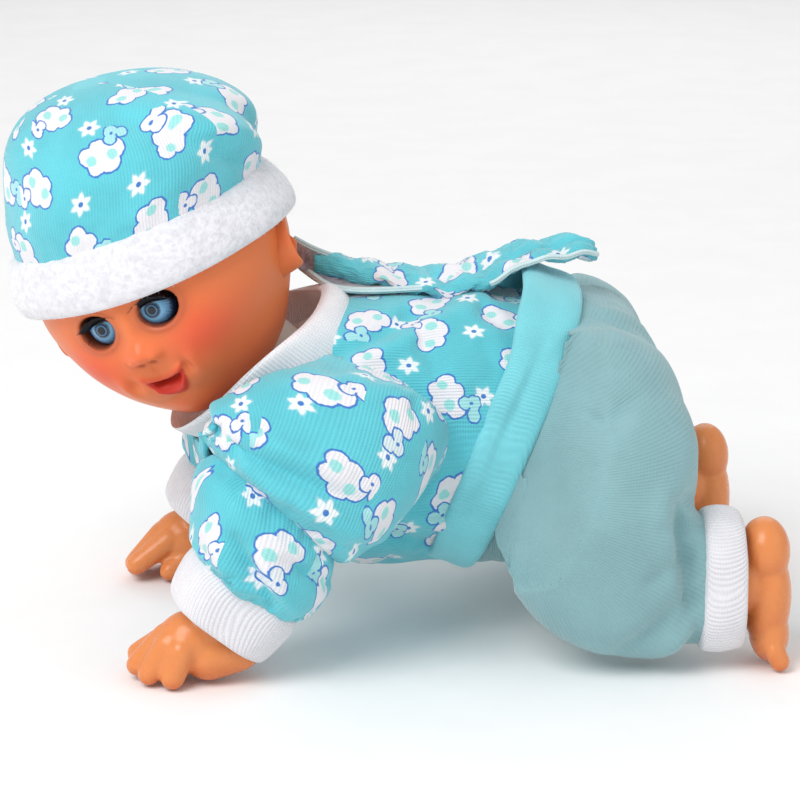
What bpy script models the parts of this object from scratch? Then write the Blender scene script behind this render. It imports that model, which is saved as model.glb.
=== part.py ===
"""Crawling baby doll: battery doll on hands and knees, in knitted top, trousers and cap.

Sizes are in millimetres and become metres where a mesh is made. +Z is up, the doll crawls towards -X,
its left side is -Y, and the origin is on the floor under the middle of its bounding box.
"""

import math

import bmesh
import bpy
from mathutils import Euler, Matrix, Vector

MM = 0.001
GAP = 0.3  # between pieces that touch
TAU = 2 * math.pi

# ---------------------------------------------------------------- driving dimensions
# Torso sections along X: (x, centre height, half width, half height)
TORSO = [
    (-56.0, 59.0, 9.0, 9.0),
    (-52.5, 59.5, 17.0, 16.5),
    (-44.0, 60.5, 23.0, 23.0),
    (-31.0, 61.5, 26.0, 27.5),
    (-12.0, 62.0, 27.0, 30.0),
    (15.0, 62.0, 27.0, 31.0),
    (45.0, 62.0, 27.0, 31.0),
    (60.0, 62.0, 26.0, 29.0),
    (68.5, 62.0, 21.0, 22.0),
    (73.0, 62.0, 11.0, 12.0),
]
ROUNDNESS = (2.05, 2.7)  # exponent of the torso's rounded-box section, at the shoulders and at the waist
WALL = 2.0  # moulded plastic wall
PARTING_Z = 62.0  # where belly and back shells meet

SHOULDER = (-40.0, 66.0)  # x, z of the shoulder axis
HIP = (54.0, 56.0)  # x, z of the hip axis
LIMB_Y = 45.0  # middle of each limb from the centre plane
CLOTH_INNER_Y = 31.8  # inner face of the sleeves and trouser legs
SHAFT_END_Y = 36.4  # hip and shoulder shafts end inside the limbs
LIMB_WALL = 1.8

HEAD_CENTRE = (-66.0, 0.0, 106.0)
HEAD_TURN = (math.radians(-25.0), math.radians(-6.0), math.radians(70.0))  # roll, pitch, yaw
HEAD_RADII = (38.0, 37.0, 41.0)  # depth, half width, half height
HEAD_WALL = 1.8
SWEEP_R = 43.4  # the head, ears and chin stay inside this as the head turns
NECK_TILT = math.radians(42.0)  # neck axis above the horizontal, towards the face end
NECK = Vector((-math.cos(NECK_TILT), 0.0, math.sin(NECK_TILT)))
NECK_POST_R = 11.0
COLLAR_R = 27.0

EYE_Y = 10.0  # from the face's centre line, at the skin
EYE_Z = -3.0
EYEBALL_R = 6.6
EYE_DEPTH = 8.6  # skin to the eyeball's centre
EYE_HOLE = (5.7, 4.8)  # half width, half height
LASH_ANGLE = math.radians(21.0)

CLOTH = 1.5  # thickness of the plain cloth shells
EASE = 1.7  # torso to the inside of the jacket and trousers
WAIST_TOP = Vector((43.0, 0.0, 103.0))
WAIST_BOTTOM = Vector((11.0, 0.0, 21.6))
WAISTBAND_WIDTH = 16.0
BELLY_SAG = 6.5  # the loose jacket hangs this far below the belly

GEAR_MODULE = 0.7
WHEEL_TEETH = 20
PINION_TEETH = 8
MESH_DISTANCE = GEAR_MODULE * (WHEEL_TEETH + PINION_TEETH) / 2
CRANK_AXIS = (54.0, 75.0)
TRAIN = (218.0, 255.0, 333.0)  # directions from crank to second gear, first gear and motor, in degrees
CRANK_R = 3.4
PLATE_Y = (11.6, 12.8)
CRANK_Y = (13.2, 14.6)
LEVER_Y = (15.8, 17.3)
ROD_Y = (17.8, 19.2)
PIN_R = 1.3
LEVER_R = 10.0  # limb axis to the link rod's pin

CELL_R, CELL_LENGTH = 7.1, 50.0
CELL_Z = 48.6
CELL_PITCH = 14.4
CELL_X = -21.0  # front end of the cells


# ---------------------------------------------------------------- materials
def material(name, colour, roughness=0.5, metallic=0.0):
    found = bpy.data.materials.get(name)
    if found:
        return found
    made = bpy.data.materials.new(name)
    made.use_nodes = True
    shader = made.node_tree.nodes["Principled BSDF"]
    shader.inputs["Base Color"].default_value = (*colour, 1.0)
    shader.inputs["Roughness"].default_value = roughness
    shader.inputs["Metallic"].default_value = metallic
    made.diffuse_color = (*colour, 1.0)
    return made


def make_materials():
    return {
        "skin_vinyl": material("skin_vinyl", (0.86, 0.42, 0.22), 0.45),
        "limb_plastic": material("limb_plastic", (0.88, 0.40, 0.16), 0.35),
        "body_plastic": material("body_plastic", (0.85, 0.62, 0.48), 0.5),
        "print_jersey": material("print_jersey", (0.30, 0.74, 0.78), 0.9),
        "mint_knit": material("mint_knit", (0.42, 0.76, 0.76), 0.9),
        "white_rib": material("white_rib", (0.86, 0.85, 0.87), 0.95),
        "white_fleece": material("white_fleece", (0.88, 0.88, 0.90), 1.0),
        "eye_gloss": material("eye_gloss", (0.10, 0.25, 0.45), 0.08),
        "lash_black": material("lash_black", (0.01, 0.01, 0.015), 0.4),
        "gear_nylon": material("gear_nylon", (0.9, 0.9, 0.86), 0.4),
        "mechanism_abs": material("mechanism_abs", (0.12, 0.12, 0.13), 0.45),
        "steel": material("steel", (0.6, 0.6, 0.62), 0.3, 1.0),
        "cell_wrap": material("cell_wrap", (0.12, 0.30, 0.16), 0.35),
        "circuit_board": material("circuit_board", (0.05, 0.25, 0.12), 0.5),
        "speaker_paper": material("speaker_paper", (0.05, 0.05, 0.05), 0.8),
    }


# ---------------------------------------------------------------- mesh helpers
def link(name, mesh, mat=None, frame=None, sharp=35.0):
    """Adds the mesh as an object. frame is the empty whose space its points are in."""
    mesh.shade_smooth()
    mesh.set_sharp_from_angle(angle=math.radians(sharp))
    made = bpy.data.objects.new(name, mesh)
    if mat:
        mesh.materials.append(mat)
    if frame:
        made.parent = frame
    bpy.context.scene.collection.objects.link(made)
    return made


def frame_at(name, place, turn=(0.0, 0.0, 0.0), parent=None):
    """An empty that places and turns the pieces parented to it."""
    made = bpy.data.objects.new(name, None)
    made.empty_display_size = 0.01
    made.location = Vector(place) * MM
    made.rotation_euler = Euler(turn, "XYZ")
    made.parent = parent
    bpy.context.scene.collection.objects.link(made)
    return made


def mesh_of(name, points, faces):
    bm = bmesh.new()
    made = [bm.verts.new(Vector(p) * MM) for p in points]
    for face in faces:
        bm.faces.new([made[i] for i in face])
    bmesh.ops.recalc_face_normals(bm, faces=bm.faces)
    mesh = bpy.data.meshes.new(name)
    bm.to_mesh(mesh)
    bm.free()
    return mesh


def ring_mesh(name, rings, loop=False):
    """A closed skin over rings of equal count: capped at both ends, or joined end to end if loop."""
    count = len(rings[0])
    points = [p for ring in rings for p in ring]
    faces = []
    spans = len(rings) if loop else len(rings) - 1
    for i in range(spans):
        a, b = i * count, ((i + 1) % len(rings)) * count
        faces += [(a + k, a + (k + 1) % count, b + (k + 1) % count, b + k) for k in range(count)]
    if not loop:
        faces.append(tuple(reversed(range(count))))
        faces.append(tuple(range((len(rings) - 1) * count, len(rings) * count)))
    return mesh_of(name, points, faces)


def basis(axis):
    """Two unit vectors at right angles to axis."""
    axis = Vector(axis).normalized()
    side = Vector((0.0, 1.0, 0.0)) if abs(axis.y) < 0.9 else Vector((1.0, 0.0, 0.0))
    u = side.cross(axis).normalized()
    return u, axis.cross(u)


def circle(centre, axis, radius, count):
    u, v = basis(axis)
    spokes = [(math.cos(TAU * k / count), math.sin(TAU * k / count)) for k in range(count)]
    return [Vector(centre) + u * (radius * c) + v * (radius * s) for c, s in spokes]


def turned(name, origin, axis, profile, count, loop=False):
    """A turned piece: profile is (radius, distance along axis), open with end caps, or a closed loop."""
    axis = Vector(axis).normalized()
    rings = [circle(Vector(origin) + axis * h, axis, r, count) for r, h in profile]
    return ring_mesh(name, rings, loop)


def cylinder(name, start, end, radius, count=16):
    start, end = Vector(start), Vector(end)
    return turned(name, start, end - start, [(radius, 0.0), (radius, (end - start).length)], count)


def capsule(name, start, end, r0, r1, count=10, flat=1.0):
    """A tapered rod with round ends; flat squeezes it along Y."""
    start, end = Vector(start), Vector(end)
    length = (end - start).length
    profile = [(r0 * math.sin(a), -r0 * math.cos(a)) for a in (0.5, 1.57)]
    profile += [(r1 * math.cos(a), length + r1 * math.sin(a)) for a in (0.0, 1.07)]
    mesh = turned(name, start, end - start, profile, count)
    for vertex in mesh.vertices:
        middle = start.y * MM
        vertex.co.y = middle + (vertex.co.y - middle) * flat
    return mesh


def ellipsoid(name, centre, radii, segments=12, rows=8):
    rings = []
    for i in range(rows + 1):
        a = min(max(math.pi * i / rows, 0.12), math.pi - 0.12)
        rings.append(
            [
                (
                    centre[0] + radii[0] * math.sin(a) * math.cos(TAU * k / segments),
                    centre[1] + radii[1] * math.sin(a) * math.sin(TAU * k / segments),
                    centre[2] + radii[2] * math.cos(a),
                )
                for k in range(segments)
            ]
        )
    return ring_mesh(name, rings)


def block(name, low, high):
    (x0, y0, z0), (x1, y1, z1) = low, high
    rings = [[(x0, y0, z), (x1, y0, z), (x1, y1, z), (x0, y1, z)] for z in (z0, z1)]
    return ring_mesh(name, rings)


def prism(name, outline, y0, y1):
    """An outline of (x, z) points, extruded along Y."""
    return ring_mesh(name, [[(x, y, z) for x, z in outline] for y in (y0, y1)])


def combine(target, operation, mesh, frame=None):
    """A Boolean of mesh into target, as a modifier with a hidden helper object."""
    helper = link(f"helper_{target.name}_{len(target.modifiers)}", mesh, None, frame)
    helper.hide_render = True
    helper.display_type = "WIRE"
    modifier = target.modifiers.new(operation.lower(), "BOOLEAN")
    modifier.operation = operation
    modifier.object = helper
    modifier.solver = "EXACT"
    return helper


def cut(target, mesh, frame=None):
    return combine(target, "DIFFERENCE", mesh, frame)


def add(target, mesh, frame=None):
    return combine(target, "UNION", mesh, frame)


# ---------------------------------------------------------------- torso-shaped sections
def torso_at(x):
    """Centre height, half width and half height of the torso at x, by smooth interpolation."""
    x = min(max(x, TORSO[0][0]), TORSO[-1][0])
    for (x0, *a), (x1, *b) in zip(TORSO, TORSO[1:]):
        if x <= x1:
            t = (x - x0) / (x1 - x0)
            return [p + (q - p) * t for p, q in zip(a, b)]
    return list(TORSO[-1][1:])


def torso_ring(x, grow, count):
    """A ring of the torso's section grown outwards."""
    zc, hy, hz = torso_at(x)
    blend = min(max((x + 36.0) / 30.0, 0.0), 1.0)
    exponent = ROUNDNESS[0] + (ROUNDNESS[1] - ROUNDNESS[0]) * blend
    points = []
    for k in range(count):
        c, s = math.cos(TAU * (k + 0.5) / count), math.sin(TAU * (k + 0.5) / count)
        y = math.copysign(abs(c) ** (2 / exponent), c) * (hy + grow)
        z = math.copysign(abs(s) ** (2 / exponent), s) * (hz + grow)
        points.append((x, y, zc + z))
    return points


def torso_skin(name, grow, count=16):
    """A closed body of the torso's shape, grown by grow all round."""
    rings = [torso_ring(x, grow, count) for x, *_ in TORSO]
    rings[0] = [(x - grow, y, z) for x, y, z in rings[0]]
    rings[-1] = [(x + grow, y, z) for x, y, z in rings[-1]]
    return ring_mesh(name, rings)


def neck_sphere(radius):
    """The room that the head turns in."""
    return ellipsoid("neck_sphere", HEAD_CENTRE, (radius,) * 3, 20, 12)


def on_neck(distance):
    """A point on the neck's axis, this far below the head's centre."""
    return Vector(HEAD_CENTRE) - NECK * distance


# ---------------------------------------------------------------- torso and its electrics
def hole_along_y(target, axis, radius, side, y0=15.0, y1=40.0):
    cut(target, cylinder("hole", (axis[0], side * y0, axis[1]), (axis[0], side * y1, axis[1]), radius, 12))


def door_outline(shrink):
    low = (CELL_X - 3 + shrink, -18.0 + shrink, 20.0)
    high = (CELL_X + CELL_LENGTH + 5 - shrink, 18.0 - shrink, 40.0)
    return block("door_outline", low, high)


def shell_half(name, half, mats):
    """One moulded half: the torso's skin with a dish for the head, hollowed, and cut at the parting plane."""
    made = link(name, torso_skin(name, 0.0), mats["body_plastic"])
    cut(made, neck_sphere(SWEEP_R + 1.6))
    hollow = link("hollow_source", torso_skin("hollow_source", -WALL))
    hollow.hide_render = True
    hollow.display_type = "WIRE"
    cut(hollow, neck_sphere(SWEEP_R + 1.6 + WALL))
    modifier = made.modifiers.new("hollow", "BOOLEAN")
    modifier.operation = "DIFFERENCE"
    modifier.object = hollow
    modifier.solver = "EXACT"
    cut(made, cylinder("neck_hole", on_neck(40), on_neck(56), 9.0))
    far = 200.0
    low, high = (PARTING_Z - GAP / 2, far) if half == "belly" else (-far, PARTING_Z + GAP / 2)
    cut(made, block("other_half", (-far, -far, low), (far, far, high)))
    return made


def make_torso(mats):
    belly = shell_half("torso_belly_shell", "belly", mats)
    cut(belly, door_outline(0.0))
    back = shell_half("torso_back_shell", "back", mats)
    for side in (-1, 1):
        hole_along_y(belly, HIP, 5.0, side)
        hole_along_y(back, SHOULDER, 4.2, side)
        hole_along_y(belly, SHOULDER, 4.2, side)
    cut(back, block("switch_slot", (18.0, -2.6, 88.0), (30.0, 2.6, 96.0)))
    for k in range(5):
        a = TAU * k / 5
        centre = Vector((-2 + 8 * math.cos(a), 8 * math.sin(a), 80.0))
        cut(back, cylinder("sound_hole", centre, centre + Vector((0, 0, 20)), 1.6, 6))
    door = link("battery_door", torso_skin("battery_door", 0.0), mats["body_plastic"])
    cut(door, torso_skin("hollow", -WALL))
    combine(door, "INTERSECT", door_outline(GAP))
    cut(door, cylinder("screw_hole", (22.0, 0, 20), (22.0, 0, 40), 1.6, 8))
    screw = [(2.5, 29.8), (2.5, 30.7), (1.2, 30.8), (1.2, 38.0)]
    link("battery_door_screw", turned("battery_door_screw", (22.0, 0, 0), (0, 0, 1), screw, 10), mats["steel"])


def make_neck(mats):
    """A post with a flange at each end: the torso holds one end and the vinyl head snaps over the other."""
    # (radius, distance below the head's centre)
    profile = [(12.0, 50.4), (12.0, 48.8), (8.4, 48.6), (8.4, 43.4), (NECK_POST_R, 41.9)]
    profile += [(NECK_POST_R, 32.2), (14.0, 31.8), (14.0, 29.6), (9.0, 28.0)]
    steps = [(radius, 50.4 - below) for radius, below in profile]
    link("neck_post", turned("neck_post", on_neck(50.4), NECK, steps, 16), mats["body_plastic"])


def make_batteries(mats):
    end = CELL_X + CELL_LENGTH
    for i, y in enumerate((-CELL_PITCH, 0.0, CELL_PITCH)):
        start = (CELL_X, y, CELL_Z)
        profile = [(CELL_R, 0.0), (CELL_R, CELL_LENGTH - 1.4), (2.7, CELL_LENGTH - 1.2), (2.7, CELL_LENGTH)]
        link(f"battery_cell_{i + 1}", turned("cell", start, (1, 0, 0), profile, 12), mats["cell_wrap"])
    tray = link("battery_tray", block("tray", (CELL_X - 2.8, -16, 43), (end + 3.2, 16, 57.6)), mats["mechanism_abs"])
    cut(tray, block("tray_inside", (CELL_X - 1.6, -20, 40), (end + 2.0, 20, 56.2)))
    for word, x in (("front", CELL_X - 1.3), ("rear", end + 1.0)):
        link(f"contact_plate_{word}", block("plate", (x, -15.5, 43.5), (x + 0.7, 15.5, 53)), mats["steel"])


def make_sound(mats):
    board = link("sound_board", block("sound_board", (-24, -15, 60), (10, 15, 61.4)), mats["circuit_board"])
    add(board, block("chip", (-16, -5, 61), (-6, 5, 63.4)))
    add(board, cylinder("capacitor", (4, -9, 61), (4, -9, 68), 3.0, 10))
    speaker = [(7.0, 74.0), (8.0, 79.5), (15.0, 81.5), (15.0, 84.0), (13.0, 84.0), (5.0, 80.5)]
    link("speaker", turned("speaker", (-2, 0, 0), (0, 0, 1), speaker, 16), mats["speaker_paper"])
    switch = link("switch_body", block("switch_body", (17, -4, 81), (31, 4, 89.5)), mats["mechanism_abs"])
    cut(switch, block("switch_track", (19, -2.2, 86), (29, 2.2, 92)))
    slider = block("switch_slider", (19.6, -1.8, 86.5), (24.6, 1.8, 93.4))
    link("switch_slider", slider, mats["mechanism_abs"])


# ---------------------------------------------------------------- drive: motor, gears, cranks, levers, rods
def gear_outline(axis, teeth, phase):
    """Teeth as trapezoids on the pitch circle, thinned for backlash."""
    pitch_r = GEAR_MODULE * teeth / 2
    root, tip = pitch_r - 1.2 * GEAR_MODULE, pitch_r + 0.8 * GEAR_MODULE
    pitch = TAU / teeth
    points = []
    for k in range(teeth):
        middle = phase + k * pitch
        for radius, share in ((root, -0.29), (tip, -0.11), (tip, 0.11), (root, 0.29)):
            a = middle + share * pitch
            points.append((axis[0] + radius * math.cos(a), axis[1] + radius * math.sin(a)))
    return points


def line_angle(a, b):
    return math.atan2(b[1] - a[1], b[0] - a[0])


def facing_space(teeth):
    return math.pi + math.pi / teeth


def pin_along_y(name, axis, y0, y1, radius, count=12):
    return cylinder(name, (axis[0], y0, axis[1]), (axis[0], y1, axis[1]), radius, count)


def compound_gear(name, axis, wheel_phase, wheel_y, pinion_phase, pinion_end, mat):
    """A moulded wheel and pinion with its own axle ends."""
    made = link(name, prism(name, gear_outline(axis, WHEEL_TEETH, wheel_phase), *wheel_y), mat)
    teeth = gear_outline(axis, PINION_TEETH, pinion_phase)
    add(made, prism("pinion", teeth, pinion_end, wheel_y[0] + 0.4))
    add(made, pin_along_y("axle", axis, -PLATE_Y[1], PLATE_Y[1], 1.3, 10))
    return made


def train_axes():
    """Axes of the second gear, the first gear and the motor, each a mesh distance from the one before."""
    axes, here = [], Vector(CRANK_AXIS)
    for degrees in TRAIN:
        a = math.radians(degrees)
        here = here + MESH_DISTANCE * Vector((math.cos(a), math.sin(a)))
        axes.append(tuple(here))
    return axes


def make_drive(mats):
    nylon, steel = mats["gear_nylon"], mats["steel"]
    second, first, motor = train_axes()
    to_first = line_angle(motor, first)
    to_second = line_angle(first, second)
    to_crank = line_angle(second, CRANK_AXIS)
    space = facing_space(WHEEL_TEETH)

    can = link("motor_can", pin_along_y("motor_can", motor, -11.2, 5.0, 8.0, 16), steel)
    cut(can, pin_along_y("shaft_room", motor, -2.0, 8.0, 1.6, 8))
    pinion = prism("motor_pinion", gear_outline(motor, PINION_TEETH, to_first), 8.4, 11.2)
    rotor = link("motor_pinion", pinion, steel)
    add(rotor, pin_along_y("shaft", motor, -1.0, 9.0, 1.0, 8))

    compound_gear("first_gear", first, to_first + space, (8.6, 11.0), to_second, 5.7, nylon)
    compound_gear("second_gear", second, to_second + space, (6.0, 8.2), to_crank, 3.0, nylon)
    output = prism("output_gear", gear_outline(CRANK_AXIS, WHEEL_TEETH, to_crank + space), 3.4, 5.6)
    gear = link("output_gear", output, nylon)
    cut(gear, pin_along_y("bore", CRANK_AXIS, 0.0, 12.0, 2.0 + GAP, 10))
    reach = CRANK_Y[0] - GAP
    link("crank_axle", pin_along_y("crank_axle", CRANK_AXIS, -reach, reach, 2.0, 10), steel)
    make_gearbox(second, first, motor, mats["mechanism_abs"])
    for word, side in (("left", -1), ("right", 1)):
        make_crank(word, side, steel)
        make_hip_lever(word, side, mats["mechanism_abs"])
        make_shoulder_lever(word, side, mats["mechanism_abs"])
        make_rod(word, side, steel)


def make_gearbox(second, first, motor, mat):
    """Two plates that carry the axles, held apart by pillars on the left plate."""
    plate = [(35.5, 47.0), (62.5, 47.0), (62.5, 70.0), (60.0, 83.5), (46.0, 83.5), (35.5, 70.0)]
    for word, side in (("left", -1), ("right", 1)):
        y0, y1 = side * PLATE_Y[0], side * PLATE_Y[1]
        made = link(f"gearbox_plate_{word}", prism("plate", plate, y0, y1), mat)
        for axis, radius in ((CRANK_AXIS, 2.4), (second, 1.7), (first, 1.7)):
            cut(made, pin_along_y("bearing", axis, side * 10, side * 14, radius, 10))
        if word == "left":
            for post in ((38.0, 49.5), (60.3, 66.5), (47.7, 81.8)):
                add(made, pin_along_y("pillar", post, -PLATE_Y[0] - 0.4, PLATE_Y[0] - GAP, 1.3, 6))


def make_crank(word, side, mat):
    """A disc on the axle; its pin ends just short of the yoke, which is where the drive's loop is opened."""
    y0, y1 = side * CRANK_Y[0], side * CRANK_Y[1]
    pin = (CRANK_AXIS[0] + side * CRANK_R, CRANK_AXIS[1])
    made = link(f"crank_{word}", pin_along_y("crank", CRANK_AXIS, y0, y1, CRANK_R + 2.2, 16), mat)
    add(made, pin_along_y("crank_pin", pin, side * 14.0, side * (LEVER_Y[0] - GAP), PIN_R, 8))


def make_hip_lever(word, side, mat):
    """Hip shaft with an arm up to a slot that takes the crank pin, and a pin for the link rod half-way."""
    (hx, hz), (kx, kz) = HIP, CRANK_AXIS
    slot_x, slot_z = PIN_R + GAP, CRANK_R + PIN_R + 0.8
    top = kz + slot_z + 1.6
    right_edge = [(hx + 5, hz - 3), (hx + 3.6, hz + 8), (kx + 3.6, top)]
    outline = right_edge + [(kx - 3.6, top), (hx - 3.6, hz + 8), (hx - 5, hz - 3)]
    made = link(f"hip_lever_{word}", prism("lever", outline, side * LEVER_Y[0], side * LEVER_Y[1]), mat)
    low, high = (kx - slot_x, side * 16.5 - 4, kz - slot_z), (kx + slot_x, side * 16.5 + 4, kz + slot_z)
    cut(made, block("pin_slot", low, high))
    add(made, pin_along_y("hip_shaft", HIP, side * 16.4, side * SHAFT_END_Y, 4.0, 12))
    add(made, pin_along_y("rod_pin", (hx, hz + LEVER_R), side * 16.4, side * (ROD_Y[1] + 0.7), PIN_R, 10))


def make_shoulder_lever(word, side, mat):
    """Shoulder shaft with a short arm down to the link rod's other pin."""
    sx, sz = SHOULDER
    low = sz - LEVER_R - 2.2
    right_edge = [(sx + 2.2, low), (sx + 3.4, sz), (sx + 2.4, sz + 3.4)]
    outline = right_edge + [(sx - 2.4, sz + 3.4), (sx - 3.4, sz), (sx - 2.2, low)]
    made = link(f"shoulder_lever_{word}", prism("lever", outline, side * LEVER_Y[0], side * LEVER_Y[1]), mat)
    add(made, pin_along_y("shoulder_shaft", SHOULDER, side * 16.4, side * SHAFT_END_Y, 3.2, 12))
    add(made, pin_along_y("rod_pin", (sx, sz - LEVER_R), side * 16.4, side * (ROD_Y[1] + 0.7), PIN_R, 10))


def make_rod(word, side, mat):
    """The link from hip lever to shoulder lever; its wide shoulder hole is where that loop is opened."""
    near = Vector((HIP[0], HIP[1] + LEVER_R))
    far = Vector((SHOULDER[0], SHOULDER[1] - LEVER_R))
    along = (far - near).normalized()
    across = Vector((-along.y, along.x)) * 2.4
    near_end, far_end = near - along * 3.0, far + along * 2.6
    outline = [near_end + across, far_end + across, far_end - across, near_end - across]
    made = link(f"link_rod_{word}", prism("rod", [tuple(p) for p in outline], side * ROD_Y[0], side * ROD_Y[1]), mat)
    cut(made, pin_along_y("hip_end", tuple(near), side * 15, side * 25, PIN_R + GAP, 10))
    cut(made, pin_along_y("shoulder_end", tuple(far), side * 15, side * 25, PIN_R + 0.6, 10))


# ---------------------------------------------------------------- limbs
def limb_halves(words, side, shapes, hollows, mat):
    """Two glued shells, split at the limb's middle plane."""
    far = 300.0
    middle = side * LIMB_Y
    for name, inner in ((f"{words}_inner_shell", True), (f"{words}_outer_shell", False)):
        made = link(name, shapes[0](), mat, sharp=50.0)
        for shape in shapes[1:]:
            add(made, shape())
        for hollow in hollows:
            cut(made, hollow())
        cut_far = (side > 0) == inner
        low = (-far, middle - GAP / 2, -far) if cut_far else (-far, -far, -far)
        high = (far, far, far) if cut_far else (far, middle + GAP / 2, far)
        cut(made, block("parting", low, high))
        cut(made, block("floor", (-far, -far, -far), (far, far, 0.0)))
        if inner:
            axis, radius = (HIP, 4.3) if "leg" in words else (SHOULDER, 3.5)
            cut(made, pin_along_y("shaft_socket", axis, side * 20, side * (SHAFT_END_Y + GAP), radius))


def make_leg(word, side, mats):
    y = side * LIMB_Y
    hip, knee, ankle = (HIP[0], y, HIP[1]), (65.0, y, 19.5), (88.0, y, 24.0)
    shapes = [
        lambda: capsule("thigh", hip, knee, 12.0, 11.0, flat=0.8),
        lambda: capsule("shin", knee, ankle, 10.8, 9.5, flat=0.88),
        lambda: ellipsoid("foot", (98.0, y, 21.0), (7.6, 9.5, 21.6), 12, 8),
    ]
    inset = LIMB_WALL
    hollows = [
        lambda: capsule("thigh_hollow", hip, knee, 12.0 - inset, 11.0 - inset, 8, flat=0.83),
        lambda: capsule("shin_hollow", knee, ankle, 10.6 - inset, 9.3 - inset, 8, flat=0.87),
    ]
    limb_halves(f"leg_{word}", side, shapes, hollows, mats["limb_plastic"])


def make_arm(word, side, mats):
    y = side * LIMB_Y
    shoulder, elbow, wrist = (SHOULDER[0], y, SHOULDER[1]), (-37.0, y, 37.0), (-53.0, y, 18.5)
    shapes = [
        lambda: capsule("upper_arm", shoulder, elbow, 11.0, 9.5, flat=0.86),
        lambda: capsule("forearm", elbow, wrist, 9.5, 8.0, flat=0.95),
        lambda: ellipsoid("palm", (-64.0, y, 10.0), (13.6, 9.6, 10.6), 12, 6),
    ]
    inset = LIMB_WALL
    hollows = [
        lambda: capsule("upper_hollow", shoulder, elbow, 11.0 - inset, 9.2 - inset, 8, flat=0.82),
        lambda: capsule("fore_hollow", elbow, wrist, 9.2 - inset, 7.8 - inset, 8, flat=0.9),
    ]
    limb_halves(f"arm_{word}", side, shapes, hollows, mats["limb_plastic"])


# ---------------------------------------------------------------- clothes
def tube_rings(stations, side, grow, count):
    """Rings of (centre x, centre z, radius along the plane, tilt) across a sleeve or trouser leg."""
    rings = []
    for x, z, radius, half_y, tilt, y in stations:
        a = math.radians(tilt)
        along = Vector((math.cos(a), 0.0, math.sin(a)))
        centre = Vector((x, side * y, z))
        ring = []
        for k in range(count):
            t = TAU * k / count
            c, s = (math.copysign(abs(v) ** 0.75, v) for v in (math.cos(t), math.sin(t)))
            point = centre + along * ((radius + grow) * c) + Vector((0, (half_y + grow) * s, 0))
            inner = CLOTH_INNER_Y - grow
            if abs(point.y) < inner or point.y * side < 0:
                point.y = side * inner
            ring.append(point)
        rings.append(ring)
    return rings


def cuff_band(name, side, stations, mat, count=14):
    """A band open at both ends: outer rings, then inner rings back to the start."""
    outer = tube_rings(stations, side, 0.0, count)
    inner = tube_rings(stations, side, -CLOTH, count)
    return link(name, ring_mesh(name, outer + inner[::-1], loop=True), mat, sharp=60.0)


def cloth_tube(name, side, stations, axis, shaft_hole, mat, count=14):
    """A sleeve or trouser leg, closed above the limb, with a hole for the limb's shaft in its inner face."""
    outer = tube_rings(stations, side, 0.0, count)
    inner = tube_rings(stations, side, -CLOTH, count)
    inner[0] = [point - Vector((0, 0, CLOTH)) for point in inner[0]]
    made = link(name, ring_mesh(name, inner + outer[::-1]), mat, sharp=60.0)
    cut(made, pin_along_y("shaft_hole", axis, side * 25, side * (CLOTH_INNER_Y + CLOTH + 1.5), shaft_hole))
    return made


# (x, z, half size along the ring's plane, half size along Y, tilt of the ring's plane, distance from centre)
SLEEVE = [
    (-41.0, 80.5, 10.0, 9.5, 2.0, 43.5),
    (-41.0, 75.0, 17.0, 13.0, 2.0, 44.5),
    (-40.5, 60.0, 19.0, 15.0, 0.0, 45.5),
    (-40.5, 44.0, 19.0, 15.5, -8.0, 45.5),
    (-43.5, 31.0, 17.5, 14.5, -30.0, 45.0),
    (-46.2, 27.2, 16.2, 14.0, -36.0, 44.5),
]
SLEEVE_CUFF = [
    (-46.5, 26.6, 17.4, 14.4, -36.0, 44.5),
    (-51.0, 20.4, 16.8, 14.0, -37.0, 44.0),
    (-54.0, 16.0, 15.6, 13.0, -38.0, 44.0),
]
TROUSER_LEG = [
    (55.0, 80.5, 12.0, 8.0, 3.0, 42.0),
    (52.5, 74.0, 21.0, 12.0, 3.0, 44.5),
    (51.0, 60.0, 26.0, 13.5, 4.0, 46.0),
    (50.0, 42.0, 27.0, 14.2, 12.0, 46.6),
    (54.5, 30.0, 24.5, 14.0, 27.0, 46.4),
    (63.0, 24.0, 21.5, 13.6, 57.0, 46.0),
    (71.0, 23.5, 19.0, 13.2, 78.0, 45.6),
    (79.5, 25.0, 18.6, 12.8, 88.0, 45.4),
]
ANKLE_CUFF = [
    (80.2, 25.2, 19.6, 13.0, 89.0, 45.4),
    (85.0, 25.4, 19.8, 13.0, 90.0, 45.4),
    (90.0, 25.4, 18.8, 12.4, 91.0, 45.4),
]


def make_sleeves(word, side, mats):
    cloth_tube(f"sleeve_{word}", side, SLEEVE, SHOULDER, 4.6, mats["print_jersey"])
    cuff_band(f"sleeve_cuff_{word}", side, SLEEVE_CUFF, mats["white_rib"])
    cloth_tube(f"trouser_leg_{word}", side, TROUSER_LEG, HIP, 5.4, mats["mint_knit"])
    cuff_band(f"ankle_cuff_{word}", side, ANKLE_CUFF, mats["white_rib"])


def waist_frame():
    """Middle of the waistband, the direction up its slope and the direction towards the feet."""
    up = (WAIST_TOP - WAIST_BOTTOM).normalized()
    return (WAIST_TOP + WAIST_BOTTOM) / 2, up, Vector((up.z, 0.0, -up.x))


def waist_ring(offset, half_up, half_y, count=24):
    middle, up, rear = waist_frame()
    ring = []
    for k in range(count):
        c, s = math.cos(TAU * k / count), math.sin(TAU * k / count)
        y = math.copysign(abs(c) ** (2 / ROUNDNESS[1]), c) * half_y
        h = math.copysign(abs(s) ** (2 / ROUNDNESS[1]), s) * half_up
        ring.append(middle + rear * offset + up * h + Vector((0, y, 0)))
    return ring


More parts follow.
